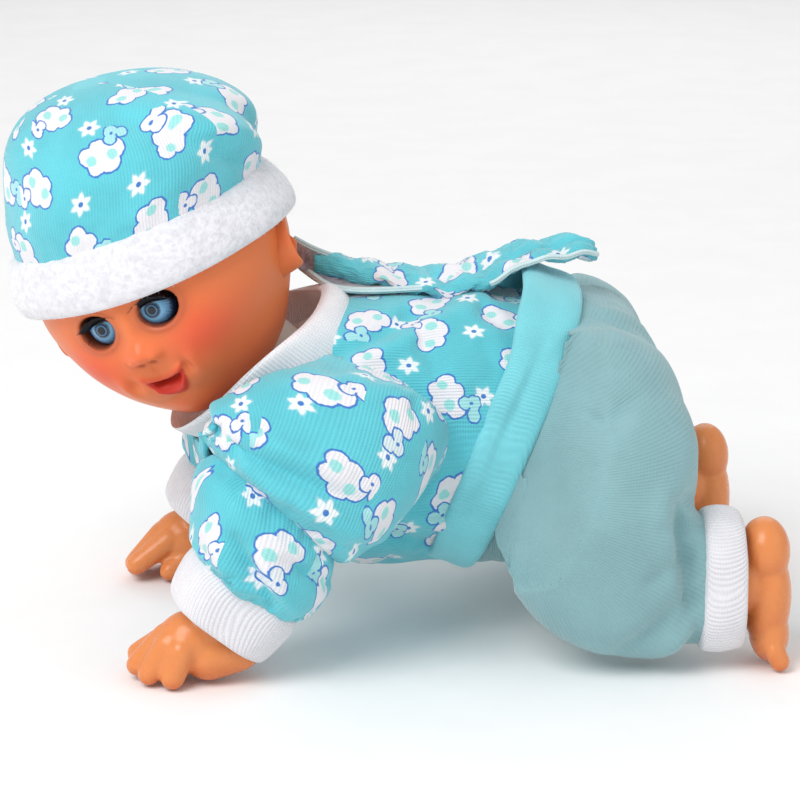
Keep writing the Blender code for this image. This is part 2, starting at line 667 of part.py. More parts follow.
def sagging_skin(name, grow):
    """The torso's shape with its lower half drawn down, as the loose jacket hangs."""
    mesh = torso_skin(name, grow)
    for vertex in mesh.vertices:
        below = max(PARTING_Z - vertex.co.z / MM, 0.0) / (PARTING_Z - 28.0)
        vertex.co.z -= BELLY_SAG * below**2 * MM
    return mesh


def slope_block(name, offset_low, offset_high):
    """A slanted slab between two planes parallel to the waistband."""
    middle, up, rear = waist_frame()
    rings = []
    for offset in (offset_low, offset_high):
        centre = middle + rear * offset
        corners = ((-150, -90), (150, -90), (150, 90), (-150, 90))
        rings.append([centre + up * a + Vector((0, b, 0)) for a, b in corners])
    return ring_mesh(name, rings)


def make_clothes(mats):
    half_band = WAISTBAND_WIDTH / 2
    jacket = link("jacket_body", sagging_skin("jacket_body", EASE + CLOTH), mats["print_jersey"])
    cut(jacket, torso_skin("jacket_hollow", EASE))
    cut(jacket, slope_block("hem", half_band - 2.0, 150.0))
    cut(jacket, neck_sphere(SWEEP_R + 0.4))
    for side in (-1, 1):
        hole_along_y(jacket, SHOULDER, 9.0, side, 15.0, 50.0)

    seat = link("trouser_seat", torso_skin("trouser_seat", EASE + CLOTH), mats["mint_knit"])
    cut(seat, torso_skin("seat_hollow", EASE))
    cut(seat, slope_block("waist_cut", -150.0, half_band + GAP))
    for side in (-1, 1):
        hole_along_y(seat, HIP, 9.0, side, 15.0, 50.0)

    half_up = (WAIST_TOP - WAIST_BOTTOM).length / 2
    half_y = CLOTH_INNER_Y - GAP
    outer = [waist_ring(offset, half_up, half_y) for offset in (-half_band, half_band)]
    band = link("waistband", ring_mesh("waistband", outer), mats["mint_knit"])
    cut(band, sagging_skin("jacket_room", EASE + CLOTH + GAP))

    # (radius, distance below the head's centre), round the neck opening
    base = 47.0
    profile = [(COLLAR_R, base), (COLLAR_R, 41.5), (25.6, 38.2), (23.4, 37.6), (22.4, 38.6), (21.8, base)]
    steps = [(radius, base - below) for radius, below in profile]
    band_mesh = turned("collar", on_neck(base), NECK, steps, 24, loop=True)
    collar = link("jacket_collar", band_mesh, mats["white_rib"])
    cut(collar, sagging_skin("jacket_room", EASE + CLOTH + GAP))
    make_hood(mats)


# Empty hood, flopped along the back to the far side: (x, centre y, centre z, half width, half thickness)
HOOD = [
    (-24.0, 14.0, 99.0, 12.0, 8.0),
    (-12.0, 12.0, 97.0, 15.0, 6.5),
    (2.0, 10.0, 95.0, 16.0, 5.0),
    (16.0, 8.0, 95.5, 16.0, 5.0),
    (25.0, 5.0, 100.8, 15.0, 3.6),
    (30.0, 4.0, 105.2, 14.0, 2.6),
    (35.0, 3.0, 108.2, 12.5, 1.8),
    (44.0, 1.0, 108.2, 10.0, 1.8),
    (51.0, 0.0, 107.6, 7.5, 1.7),
    (54.5, 0.0, 106.8, 4.5, 1.3),
]


def make_hood(mats):
    count = 14
    turns = [(math.cos(TAU * k / count), math.sin(TAU * k / count)) for k in range(count)]
    rings = [[(x, y + wide * c, z + thick * s) for c, s in turns] for x, y, z, wide, thick in HOOD]
    hood = link("jacket_hood", ring_mesh("jacket_hood", rings), mats["print_jersey"])
    cut(hood, torso_skin("jacket_room", EASE + CLOTH + GAP))
    cut(hood, cylinder("collar_room", on_neck(60.0), on_neck(25.0), COLLAR_R + GAP, 24))
    cut(hood, neck_sphere(SWEEP_R + 0.4))


# ---------------------------------------------------------------- head, eyes and cap, in the head's own frame
def bump(point, centre, height, spread):
    return height * math.exp(-(Vector(point) - Vector(centre)).length_squared / (2 * spread * spread))


def head_skin(name, inset, segments, rows):
    """The head's ovoid with cheeks, nose, chin and brow, or its inside when inset is above 0."""
    mesh = ellipsoid(name, (0, 0, 0), [r - inset for r in HEAD_RADII], segments, rows)
    features = [((-36, 0, -13), 5.0, 4.5), ((-31, 0, -27), 2.2, 5.0), ((-27, 0, -34), 2.2, 6.0)]
    features += [((-28, s * 17, -15), 2.4, 9.0) for s in (-1, 1)]
    for vertex in mesh.vertices:
        point = vertex.co / MM
        grow = 0.0 if inset else sum(bump(point, *feature) for feature in features)
        vertex.co += vertex.co.normalized() * grow * MM
    return mesh


def eye_place(side):
    """The eyeball's centre and the outward normal of the eye opening."""
    a, b, c = HEAD_RADII
    x = -a * math.sqrt(1 - (EYE_Y / b) ** 2 - (EYE_Z / c) ** 2)
    skin = Vector((x, side * EYE_Y, EYE_Z))
    normal = Vector((x / a**2, side * EYE_Y / b**2, EYE_Z / c**2)).normalized()
    return skin - normal * EYE_DEPTH, normal


def make_head(mats):
    frame = frame_at("head_frame", HEAD_CENTRE, HEAD_TURN)
    turn = Euler(HEAD_TURN, "XYZ").to_matrix()
    neck_local = turn.transposed() @ NECK
    vinyl = mats["skin_vinyl"]
    head = link("head_shell", head_skin("head_shell", 0.0, 20, 12), vinyl, frame, sharp=60.0)
    for side in (-1, 1):
        add(head, ellipsoid("ear", (-1.5, side * 36.8, -6.0), (4.6, 3.4, 7.4), 8, 6), frame)
    cut(head, head_skin("head_hollow", HEAD_WALL, 14, 8), frame)
    cut(head, cylinder("neck_hole", -neck_local * 25, -neck_local * 55, NECK_POST_R + 0.8, 16), frame)
    for side in (-1, 1):
        centre, normal = eye_place(side)
        width, height = EYE_HOLE
        hole = turned("eye_hole", centre, normal, [(height, -1.0), (height, 20.0)], 16)
        across = (Vector((0, 1, 0)) - normal * normal.y).normalized()
        for vertex in hole.vertices:
            offset = vertex.co / MM - centre
            vertex.co += across * offset.dot(across) * (width / height - 1) * MM
        cut(head, hole, frame)
    make_eyes(frame, mats)
    make_cap(frame, mats)


def make_eyes(frame, mats):
    """Weighted sleeping eyes on lateral pivots, held by a carrier with three forks."""
    black = mats["mechanism_abs"]
    carrier = link("eye_carrier", block("eye_carrier", (-12.0, -17.2, -9.0), (-10.4, 17.2, 3.0)), black, frame)
    for word, side in (("left", -1), ("right", 1)):
        centre, normal = eye_place(side)
        inward = Vector((0, -side, 0))
        ball = ellipsoid(f"eyeball_{word}", centre, (EYEBALL_R,) * 3, 12, 8)
        eye = link(f"eyeball_{word}", ball, mats["eye_gloss"], frame)
        add(eye, cylinder("pivot_in", centre + inward * 5, centre + inward * (EYEBALL_R + 0.3), 0.9, 8), frame)
        add(eye, cylinder("pivot_out", centre - inward * 5, centre - inward * (EYEBALL_R + 2.4), 0.9, 8), frame)
        add(eye, cylinder("stem", centre - Vector((0, 0, 5)), centre - Vector((0, 0, 9)), 1.2, 8), frame)
        add(eye, ellipsoid("weight", centre - Vector((0, 0, 10.2)), (2.6, 2.6, 2.2), 8, 6), frame)
        low, high = sorted((centre.y - inward.y * (EYEBALL_R + reach) for reach in (1.4, 2.2)))
        add(carrier, block("fork", (centre.x - 2.2, low, -5.6), (-11.0, high, -0.6)), frame)
        cut(carrier, cylinder("pivot_bore", centre - inward * 5, centre - inward * 14, 1.2, 8), frame)
        make_lash(word, centre, normal, frame, mats)
    add(carrier, block("middle_fork", (centre.x - 2.2, -0.35, -5.6), (-11.0, 0.35, -0.6)), frame)


def make_lash(word, centre, normal, frame, mats):
    """A comb of lashes set on the eyeball, which sweeps down through the eye opening."""
    tilt = math.atan2(-normal.z, -normal.x) - LASH_ANGLE
    out = Vector((-math.cos(tilt), 0.0, -math.sin(tilt)))
    roots, tips = [], []
    steps, half = 4, 2.6
    for k in range(steps + 1):
        y = normal.y * EYEBALL_R - half + 2 * half * k / steps
        reach = math.sqrt((EYEBALL_R + GAP) ** 2 - y * y)
        roots.append(centre + Vector((0, y, 0)) + out * reach)
        tips.append(centre + Vector((0, y + normal.y * 2.4, 0)) + out * (reach + 2.4))
    outline = roots + tips[::-1]
    thickness = Vector((out.z, 0.0, -out.x)) * 0.3
    mesh = ring_mesh("lash", [[p - thickness for p in outline], [p + thickness for p in outline]])
    link(f"eyelash_{word}", mesh, mats["lash_black"], frame)


def head_ring(height, offset, sideways=0.0, count=18):
    """A ring round the head at this height, offset outwards from its ovoid."""
    depth, width, tall = HEAD_RADII
    shrink = math.sqrt(max(1 - (height / tall) ** 2, 0.0))
    a, b = depth * shrink + offset, width * shrink + offset
    return [
        (a * math.cos(TAU * k / count), b * math.sin(TAU * k / count) + sideways, height)
        for k in range(count)
    ]


# Cap crown: (height above the head's centre, offset outside the head, flop towards the doll's left)
CROWN = [
    (17.2, 1.6, 0.0),
    (20.5, 3.4, -1.2),
    (25.5, 6.4, -3.5),
    (31.5, 10.2, -6.0),
    (37.0, 16.6, -7.5),
    (42.5, 31.0, -8.0),
    (47.5, 26.5, -6.5),
    (52.0, 19.5, -5.0),
    (54.5, 8.0, -4.0),
]
CROWN_LEAN = 0.18  # its top rises towards the doll's right


def crown_ring(height, offset, flop):
    lean = CROWN_LEAN * min(max((height - 20.0) / 22.0, 0.0), 1.0)
    return [(x, y, z + lean * y) for x, y, z in head_ring(height, offset, flop)]


def make_cap(frame, mats):
    """Puffed crown and turned-up brim, both slipped over the head from above."""
    wall = 1.2
    rings = [crown_ring(*station) for station in CROWN]
    top = link("cap_crown", ring_mesh("cap_crown", rings), mats["print_jersey"], frame)
    hollow = [head_ring(10.0, 0.6)]
    for height, offset, flop in CROWN[:-1]:
        drop = wall * min(max((height - 42.5) / 5.0, 0.0), 1.0)
        hollow.append([(x, y, z - drop) for x, y, z in crown_ring(height, offset - wall, flop)])
    cut(top, ring_mesh("cap_hollow", hollow), frame)
    brim = [(4.0, 0.8), (3.8, 3.0), (8.0, 3.9), (14.0, 3.8), (16.8, 2.4), (16.8, 0.8), (10.0, 0.8)]
    mesh = ring_mesh("cap_brim", [head_ring(h, offset) for h, offset in brim], loop=True)
    link("cap_brim", mesh, mats["white_fleece"], frame)


# ---------------------------------------------------------------- the whole doll
def put_origin(name, place):
    """Moves a piece's origin onto its joint's axis and leaves its shape where it is."""
    made = bpy.data.objects[name]
    made.data.transform(Matrix.Translation(-Vector(place) * MM))
    made.location = Vector(place) * MM


def put_origins():
    """Puts each swinging or spinning piece's origin on its axis. The head's pieces hang from its frame."""
    for word, side in (("left", -1), ("right", 1)):
        hip = (HIP[0], side * LIMB_Y, HIP[1])
        shoulder = (SHOULDER[0], side * LIMB_Y, SHOULDER[1])
        for name in ("leg_{}_inner_shell", "leg_{}_outer_shell", "hip_lever_{}", "trouser_leg_{}", "ankle_cuff_{}"):
            put_origin(name.format(word), hip)
        for name in ("arm_{}_inner_shell", "arm_{}_outer_shell", "shoulder_lever_{}", "sleeve_{}", "sleeve_cuff_{}"):
            put_origin(name.format(word), shoulder)
        put_origin(f"link_rod_{word}", (HIP[0], side * ROD_Y[0], HIP[1] + LEVER_R))
        put_origin(f"crank_{word}", (CRANK_AXIS[0], 0.0, CRANK_AXIS[1]))
        put_origin(f"eyeball_{word}", eye_place(side)[0])
        put_origin(f"eyelash_{word}", eye_place(side)[0])
    for name in ("crank_axle", "output_gear"):
        put_origin(name, (CRANK_AXIS[0], 0.0, CRANK_AXIS[1]))
    for name, (x, z) in zip(("second_gear", "first_gear", "motor_pinion"), train_axes()):
        put_origin(name, (x, 0.0, z))


def main():
    for obj in list(bpy.data.objects):
        bpy.data.objects.remove(obj)
    mats = make_materials()
    make_torso(mats)
    make_neck(mats)
    make_batteries(mats)
    make_sound(mats)
    make_drive(mats)
    for word, side in (("left", -1), ("right", 1)):
        make_leg(word, side, mats)
        make_arm(word, side, mats)
        make_sleeves(word, side, mats)
    make_clothes(mats)
    make_head(mats)
    put_origins()


main()
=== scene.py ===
"""Looks of a crawling baby doll, in printed jacket, cap and ribbed trousers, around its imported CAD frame."""

import math

import bmesh
import bpy
import numpy as np
from mathutils import Euler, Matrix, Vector


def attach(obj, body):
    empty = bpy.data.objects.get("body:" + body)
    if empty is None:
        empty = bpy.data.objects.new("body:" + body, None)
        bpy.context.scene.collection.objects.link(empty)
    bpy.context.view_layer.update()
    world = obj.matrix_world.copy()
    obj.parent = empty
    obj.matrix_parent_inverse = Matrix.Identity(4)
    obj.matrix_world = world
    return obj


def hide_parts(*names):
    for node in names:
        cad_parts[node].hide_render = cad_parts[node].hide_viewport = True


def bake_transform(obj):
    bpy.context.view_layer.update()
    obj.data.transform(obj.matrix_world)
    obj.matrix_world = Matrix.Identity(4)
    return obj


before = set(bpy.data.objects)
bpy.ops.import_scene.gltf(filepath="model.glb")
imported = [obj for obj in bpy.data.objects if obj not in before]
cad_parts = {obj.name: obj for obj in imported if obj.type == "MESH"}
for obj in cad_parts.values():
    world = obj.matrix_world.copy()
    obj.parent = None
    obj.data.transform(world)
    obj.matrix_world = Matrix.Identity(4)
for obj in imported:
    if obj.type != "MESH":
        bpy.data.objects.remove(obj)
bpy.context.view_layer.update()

MM = 0.001
TAU = 2 * math.pi

# ---------------------------------------------------------------- driving sizes, in mm, as in the CAD
HEAD_CENTRE = np.array([-66.0, 0.0, 106.0])
HEAD_TURN = np.array(Euler((math.radians(-25.0), math.radians(-6.0), math.radians(70.0)), "XYZ").to_matrix())
HEAD_RADII = np.array([38.0, 37.0, 41.0])  # depth, half width, half height
NECK_TILT = math.radians(42.0)
NECK = np.array([-math.cos(NECK_TILT), 0.0, math.sin(NECK_TILT)])  # from the body to the head
EYE_Y = 10.0
EYE_Z = -3.0
EYEBALL_R = 6.6
EYE_DEPTH = 8.6  # skin to the eyeball's centre, as in the CAD
EYE_FORWARD = 0.9
EYE_HOLE = (5.8, 5.0)  # half width, half height

# x, centre height, half width, half height
TORSO = np.array(
    [
        (-56.0, 59.0, 9.0, 9.0),
        (-52.5, 59.5, 17.0, 16.5),
        (-44.0, 60.5, 23.0, 23.0),
        (-31.0, 61.5, 26.0, 27.5),
        (-12.0, 62.0, 27.0, 30.0),
        (15.0, 62.0, 27.0, 31.0),
        (45.0, 62.0, 27.0, 31.0),
        (60.0, 62.0, 26.0, 29.0),
        (68.5, 62.0, 21.0, 22.0),
        (73.0, 62.0, 11.0, 12.0),
    ]
)
SHOULDER = np.array([-40.0, 66.0])
HIP = np.array([54.0, 56.0])
LIMB_Y = 45.0
CLOTH_INNER_Y = 31.8  # inner face of the sleeves and trouser legs
TORSO_CLOTH_Y = 30.2  # outer face of the jacket's and seat's sides
WAIST_TOP = np.array([43.0, 0.0, 103.0])
WAIST_BOTTOM = np.array([11.0, 0.0, 21.6])
WAISTBAND_WIDTH = 16.0
WAIST_HALF_WIDTH = 31.3  # the waistband's outer face
SEAT_HALF_WIDTH = 29.6  # the trousers, where they come out of the waistband
JACKET_EASE = 3.4  # how far the jacket stands off the torso
BELLY_SAG = 7.6  # the loose jacket hangs this far below the belly
PARTING_Z = 62.0  # the jacket hangs down from this height
NECK_OPENING = 49.5  # radius about the head's centre
CLOTH = 0.9  # thickness of jersey and knit

SIDES = {"left": -1, "right": 1}  # the doll's left limbs are at negative Y


# ---------------------------------------------------------------- small tools
def smooth(low, high, value):
    t = np.clip((value - low) / (high - low), 0.0, 1.0)
    return t * t * (3 - 2 * t)


def hill(a, b, at, size):
    """A round hill of height 1 at a point of a surface measured by a and b."""
    return np.exp(-(((a - at[0]) / size[0]) ** 2) - ((b - at[1]) / size[1]) ** 2)


def power(value, exponent):
    return np.sign(value) * np.abs(value) ** exponent


def spline(rows, count):
    """Rows of numbers resampled to count rows along a smooth curve through them."""
    rows = np.asarray(rows, float)
    padded = np.concatenate([2 * rows[:1] - rows[1:2], rows, 2 * rows[-1:] - rows[-2:-1]])
    where = np.linspace(0, len(rows) - 1, count)
    cell = np.minimum(where.astype(int), len(rows) - 2)
    shape = (-1,) + (1,) * (rows.ndim - 1)
    t = (where - cell).reshape(shape)
    p0, p1, p2, p3 = (padded[cell + k] for k in range(4))
    bend = 2 * p0 - 5 * p1 + 4 * p2 - p3
    twist = 3 * p1 - p0 - 3 * p2 + p3
    return 0.5 * (2 * p1 + (p2 - p0) * t + bend * t**2 + twist * t**3)


def head_to_world(points):
    return np.asarray(points) @ HEAD_TURN.T + HEAD_CENTRE


def make_mesh(name, points, faces, uvs=None):
    """An object from points in millimetres. uvs holds one pair for each face corner."""
    mesh = bpy.data.meshes.new(name)
    mesh.from_pydata((np.asarray(points, float) * MM).tolist(), [], faces)
    if uvs is not None:
        layer = mesh.uv_layers.new(name="cloth")
        layer.uv.foreach_set("vector", np.asarray(uvs, np.float32).ravel())
    mesh.shade_smooth()
    made = bpy.data.objects.new(name, mesh)
    bpy.context.scene.collection.objects.link(made)
    return made


def grid_faces(rows, columns, around):
    """Quads of a grid of points, joined round when around is true, and each corner's row and column."""
    faces = []
    corners = []
    for i in range(rows - 1):
        for j in range(columns if around else columns - 1):
            k = (j + 1) % columns
            faces.append((i * columns + j, i * columns + k, (i + 1) * columns + k, (i + 1) * columns + j))
            corners += [(i, j), (i, j + 1), (i + 1, j + 1), (i + 1, j)]
    return faces, np.array(corners)


def loft(name, rings, around=True, ends=(False, False), seam=0.0, panels=1):
    """Cloth through rings of points, cut as panels side by side. Its UVs are millimetres of cloth."""
    rings = np.asarray(rings, float)
    rows, columns = rings.shape[:2]
    faces, corners = grid_faces(rows, columns, around)
    points = rings.reshape(-1, 3)
    steps = columns if around else columns - 1
    girth = np.linalg.norm(np.roll(rings, -1, axis=1)[:, :steps] - rings[:, :steps], axis=2).sum(axis=1)
    down = np.linalg.norm(np.diff(rings, axis=0), axis=2)
    along = np.concatenate([np.zeros((1, columns)), np.cumsum(down, axis=0)])
    first = np.repeat(corners[:, 1].reshape(-1, 4).min(axis=1), 4)
    middle = (np.floor(first / steps * panels) + 0.5) / panels
    across = (corners[:, 1] / steps - middle) * girth[corners[:, 0]] + (middle - 0.5) * girth.max()
    uvs = np.stack([across + seam, along[corners[:, 0], corners[:, 1] % columns]], axis=1).tolist()
    for end, row in zip(ends, (0, rows - 1)):
        if end:
            centre = len(points)
            points = np.concatenate([points, rings[row].mean(axis=0)[None]])
            for j in range(columns):
                pair = (row * columns + (j + 1) % columns, row * columns + j)
                faces.append((centre, *(pair if row == 0 else pair[::-1])))
                uvs += [(seam, along[row].mean())] * 3
    return make_mesh(name, points, faces, uvs)


def vertices(made):
    points = np.zeros(len(made.data.vertices) * 3)
    made.data.vertices.foreach_get("co", points)
    return points.reshape(-1, 3) / MM


def normals(made):
    found = np.zeros(len(made.data.vertices) * 3)
    made.data.vertices.foreach_get("normal", found)
    return found.reshape(-1, 3)


def move_vertices(made, points):
    made.data.vertices.foreach_set("co", (np.asarray(points) * MM).ravel())
    made.data.update()


def apply_modifiers(made):
    graph = bpy.context.evaluated_depsgraph_get()
    mesh = bpy.data.meshes.new_from_object(made.evaluated_get(graph))
    made.modifiers.clear()
    made.data = mesh
    mesh.name = made.name
    return made


def add_modifier(made, kind, **settings):
    modifier = made.modifiers.new(kind.title(), kind)
    for key, value in settings.items():
        setattr(modifier, key, value)
    return modifier


def refine(made):
    add_modifier(made, "SUBSURF", levels=1, render_levels=1)
    return apply_modifiers(made)


def thicken(made, thickness, inwards=True):
    offset = -1.0 if inwards else 0.0
    add_modifier(made, "SOLIDIFY", thickness=thickness * MM, offset=offset, use_even_offset=False)
    return apply_modifiers(made)


def fuse(name, parts, voxel, relax):
    """Several closed meshes made into one smooth skin."""
    points = []
    faces = []
    for part in parts:
        start = len(points)
        points += vertices(part).tolist()
        faces += [[start + v for v in polygon.vertices] for polygon in part.data.polygons]
        bpy.data.objects.remove(part)
    made = make_mesh(name, points, faces)
    add_modifier(made, "REMESH", mode="VOXEL", voxel_size=voxel * MM, use_smooth_shade=True)
    add_modifier(made, "SMOOTH", factor=0.5, iterations=relax)
    return apply_modifiers(made)


def rod(start, end, r0, r1):
    """A closed rod with round ends."""
    start, end = np.asarray(start, float), np.asarray(end, float)
    axis = (end - start) / np.linalg.norm(end - start)
    side = np.cross(axis, (0.3, 0.9, 0.2))
    side /= np.linalg.norm(side)
    other = np.cross(axis, side)
    stops = [(start, r0, a) for a in np.linspace(-1.5, 0, 6)]
    stops += [(end, r1, a) for a in np.linspace(0, 1.5, 6)]
    turn = TAU * np.arange(20) / 20
    rings = []
    for centre, radius, a in stops:
        middle = centre + axis * radius * math.sin(a)
        spoke = np.outer(np.cos(turn), side) + np.outer(np.sin(turn), other)
        rings.append(middle + spoke * radius * math.cos(a))
    return loft("rod", rings, ends=(True, True))


def ball(centre, radii, around=28, rows=16):
    """A closed egg."""
    polar = np.linspace(0.06, math.pi - 0.06, rows)[:, None]
    turn = (TAU * np.arange(around) / around)[None, :]
    x = np.sin(polar) * np.cos(turn)
    y = np.sin(polar) * np.sin(turn)
    z = np.cos(polar) + 0 * turn
    unit = np.stack([x, y, z], axis=2)
    return loft("ball", unit * np.asarray(radii) + np.asarray(centre), ends=(True, True))


# ---------------------------------------------------------------- cloth
SIM_SCALE = 8.0  # cloth is simulated enlarged, where the solver is at ease
SIM_FRAMES = 22
SIM_STIFFNESS = 12.0  # of the cloth against stretching


def settle(made, held, growth, pressure, most, bending=0.6):
    """Runs Blender's cloth on a garment whose vertices are held by 0 to 1, and keeps the folds it finds.

    The cloth is cut a little too large for its form, by growth, so that it buckles into real folds."""
    start = vertices(made)
    move_vertices(made, start * SIM_SCALE)
    group = made.vertex_groups.new(name="held")
    for index, weight in enumerate(held):
        group.add([index], float(weight), "REPLACE")
    cloth = made.modifiers.new("Cloth", "CLOTH")
    settings = cloth.settings
    settings.quality = 6
    settings.mass = 0.25
    settings.tension_stiffness = SIM_STIFFNESS
    settings.compression_stiffness = SIM_STIFFNESS
    settings.shear_stiffness = SIM_STIFFNESS / 2
    settings.bending_stiffness = bending
    settings.use_pressure = pressure > 0
    settings.uniform_pressure_force = pressure
    settings.shrink_min = -growth
    settings.effector_weights.gravity = 0.0
    settings.vertex_group_mass = "held"
    cloth.collision_settings.use_collision = False
    cloth.collision_settings.use_self_collision = False
    cloth.point_cache.frame_start = 1
    cloth.point_cache.frame_end = SIM_FRAMES
    scene = bpy.context.scene
    for number in range(1, SIM_FRAMES + 1):
        scene.frame_set(number)
    apply_modifiers(made)
    scene.frame_set(1)
    made.vertex_groups.clear()
    shift = vertices(made) / SIM_SCALE - start
    size = np.linalg.norm(shift, axis=1, keepdims=True)
    move_vertices(made, start + shift * np.minimum(1.0, most / np.maximum(size, 1e-9)))
    return made


def ridges(points, push, lines):
    """Raises folds on cloth, each (start x, z), (end x, z), height, half width, seen from the side."""
    lift = np.zeros(len(points))
    flat = points[:, [0, 2]]
    for start, end, height, width in lines:
        start, end = np.array(start, float), np.array(end, float)
        run = end - start
        t = np.clip((flat - start) @ run / (run @ run), 0.0, 1.0)
        away = np.linalg.norm(flat - start - t[:, None] * run, axis=1)
        fade = np.sin(np.pi * np.clip(t * 0.8 + 0.1, 0, 1)) ** 0.6
        lift += height * fade * np.exp(-((away / width) ** 2))
    return points + push * lift[:, None]


def keep_side(points, side, inner):
    """Keeps a limb's cloth on its own side of the body."""
    y = points[:, 1] * side
    points[:, 1] = side * np.where(y < inner, inner - 0.25 * np.minimum(inner - y, 0.8), y)
    return points


# ---------------------------------------------------------------- materials
class Nodes:
    """A node tree built by plain calls. Values may be numbers, sockets or tuples."""

    def __init__(self, name):
        self.material = bpy.data.materials.new(name)
        self.material.use_nodes = True
        self.tree = self.material.node_tree
        self.shader = self.tree.nodes["Principled BSDF"]

    def new(self, kind, **settings):
        node = self.tree.nodes.new(kind)
        for key, value in settings.items():
            setattr(node, key, value)
        return node

    def feed(self, socket, value):
        if isinstance(value, bpy.types.NodeSocket):
            self.tree.links.new(value, socket)
        else:
            socket.default_value = value

    def math(self, operation, a, b=0.0, c=0.0):
        node = self.new("ShaderNodeMath", operation=operation)
        for socket, value in zip(node.inputs, (a, b, c)):
            self.feed(socket, value)
        return node.outputs[0]

    def vector(self, operation, a, b=(0.0, 0.0, 0.0), scale=1.0):
        node = self.new("ShaderNodeVectorMath", operation=operation)
        self.feed(node.inputs[0], a)
        if operation == "SCALE":
            self.feed(node.inputs[3], scale)
        else:
            self.feed(node.inputs[1], b)
        return node.outputs["Value" if operation in ("LENGTH", "DOT_PRODUCT", "DISTANCE") else "Vector"]

    def place(self):
        """The point on the object, in metres."""
        return self.new("ShaderNodeTexCoord").outputs["Object"]

    def cloth_place(self):
        """The point on the cut cloth, in millimetres."""
        return self.new("ShaderNodeUVMap", uv_map="cloth").outputs["UV"]

    def split(self, vector):
        node = self.new("ShaderNodeSeparateXYZ")
        self.feed(node.inputs[0], vector)
        return node.outputs

    def join(self, x, y):
        node = self.new("ShaderNodeCombineXYZ")
        for socket, value in zip(node.inputs, (x, y, 0.0)):
            self.feed(socket, value)
        return node.outputs[0]

    def noise(self, where, scale, detail=3.0, roughness=0.55, colour=False):
        node = self.new("ShaderNodeTexNoise")
        self.feed(node.inputs["Vector"], where)
        node.inputs["Scale"].default_value = scale
        node.inputs["Detail"].default_value = detail
        node.inputs["Roughness"].default_value = roughness
        return node.outputs["Color" if colour else "Fac"]

    def ramp(self, value, *stops):
        """A colour or grey ramp through (position, value) stops."""
        node = self.new("ShaderNodeValToRGB")
        self.feed(node.inputs[0], value)
        elements = node.color_ramp.elements
        while len(elements) < len(stops):
            elements.new(0.5)
        for element, (position, colour) in zip(elements, stops):
            element.position = position
            element.color = (*colour, 1.0) if isinstance(colour, tuple) else (colour, colour, colour, 1.0)
        return node.outputs["Color"]

    def mix(self, factor, a, b, blend="MIX"):
        node = self.new("ShaderNodeMix", data_type="RGBA", blend_type=blend)
        self.feed(node.inputs[0], factor)
        for socket, value in ((node.inputs[6], a), (node.inputs[7], b)):
            self.feed(socket, (*value, 1.0) if isinstance(value, tuple) and len(value) == 3 else value)
        return node.outputs[2]

    def step(self, value, low, high):
        """0 below low, 1 above high, smooth between. low may be above high."""
        node = self.new("ShaderNodeMapRange", interpolation_type="SMOOTHSTEP")
        self.feed(node.inputs["Value"], value)
        rising = high > low
        for key, number in (("From Min", min(low, high)), ("From Max", max(low, high))):
            node.inputs[key].default_value = number
        node.inputs["To Min"].default_value = 0.0 if rising else 1.0
        node.inputs["To Max"].default_value = 1.0 if rising else 0.0
        return node.outputs[0]

    def bump(self, height, distance, strength, after=None):
        node = self.new("ShaderNodeBump")
        self.feed(node.inputs["Height"], height)
        node.inputs["Distance"].default_value = distance
        node.inputs["Strength"].default_value = strength
        if after is not None:
            self.feed(node.inputs["Normal"], after)
        return node.outputs[0]

    def finish(self, colour=None, roughness=None, normal=None, **constants):
        for key, value in (("Base Color", colour), ("Roughness", roughness), ("Normal", normal)):
            if value is not None:
                self.feed(self.shader.inputs[key], value)
        for key, value in constants.items():
            self.shader.inputs[key.replace("_", " ")].default_value = value
        return self.material


AQUA = (0.115, 0.57, 0.66)
PALE_AQUA = (0.205, 0.66, 0.735)
MINT = (0.232, 0.415, 0.442)
WHITE = (0.80, 0.79, 0.83)
OUTLINE = (0.05, 0.19, 0.55)


def circle_distance(n, where, centre, radius):
    return n.math("SUBTRACT", n.vector("DISTANCE", where, (*centre, 0.0)), radius)


def cell_places(n, where, pitch, shift, salt):
    """Each point's place about the middle of its own cell, turned at random, and the cell's dice."""
    moved = n.vector("ADD", where, (*shift, 0.0))
    scaled = n.vector("SCALE", moved, scale=1.0 / pitch)
    x, y, _ = n.split(scaled)
    odd = n.math("MODULO", n.math("ABSOLUTE", n.math("FLOOR", y)), 2.0)
    staggered = n.join(n.math("ADD", x, n.math("MULTIPLY", odd, 0.5)), y)
    cell = n.vector("FLOOR", staggered)
    dice = n.new("ShaderNodeTexWhiteNoise", noise_dimensions="3D")
    n.feed(dice.inputs["Vector"], n.vector("ADD", cell, (salt, salt * 1.7, 0.5)))
    local = n.vector("SUBTRACT", n.vector("FRACTION", staggered), (0.5, 0.5, 0.0))
    throw = n.vector("SUBTRACT", dice.outputs["Color"], (0.5, 0.5, 0.5))
    local = n.vector("SUBTRACT", local, n.vector("MULTIPLY", throw, (0.22, 0.22, 0.0)))
    local = n.vector("SCALE", local, scale=pitch)
    turned = n.new("ShaderNodeVectorRotate", rotation_type="Z_AXIS")
    n.feed(turned.inputs["Vector"], local)
    n.feed(turned.inputs["Angle"], n.math("MULTIPLY", dice.outputs["Value"], 5.0))
    flat = n.split(turned.outputs[0])
    return n.join(flat[0], flat[1]), dice.outputs["Value"]


# Centre and radius of each puff of a cloud, about the cloud's middle
CLOUD = (((-3.6, -0.9), 3.0), ((0.3, -1.6), 3.1), ((3.9, -0.6), 2.7), ((-1.4, 2.0), 3.2), ((2.5, 2.4), 2.5))
SMALL_CLOUD = (((-2.2, 0.2), 1.9), ((0.6, -0.9), 2.1), ((1.3, 1.5), 1.8))
CLOUD_PATCHES = (((-2.6, 0.6), 1.5), ((3.4, 0.6), 1.4))


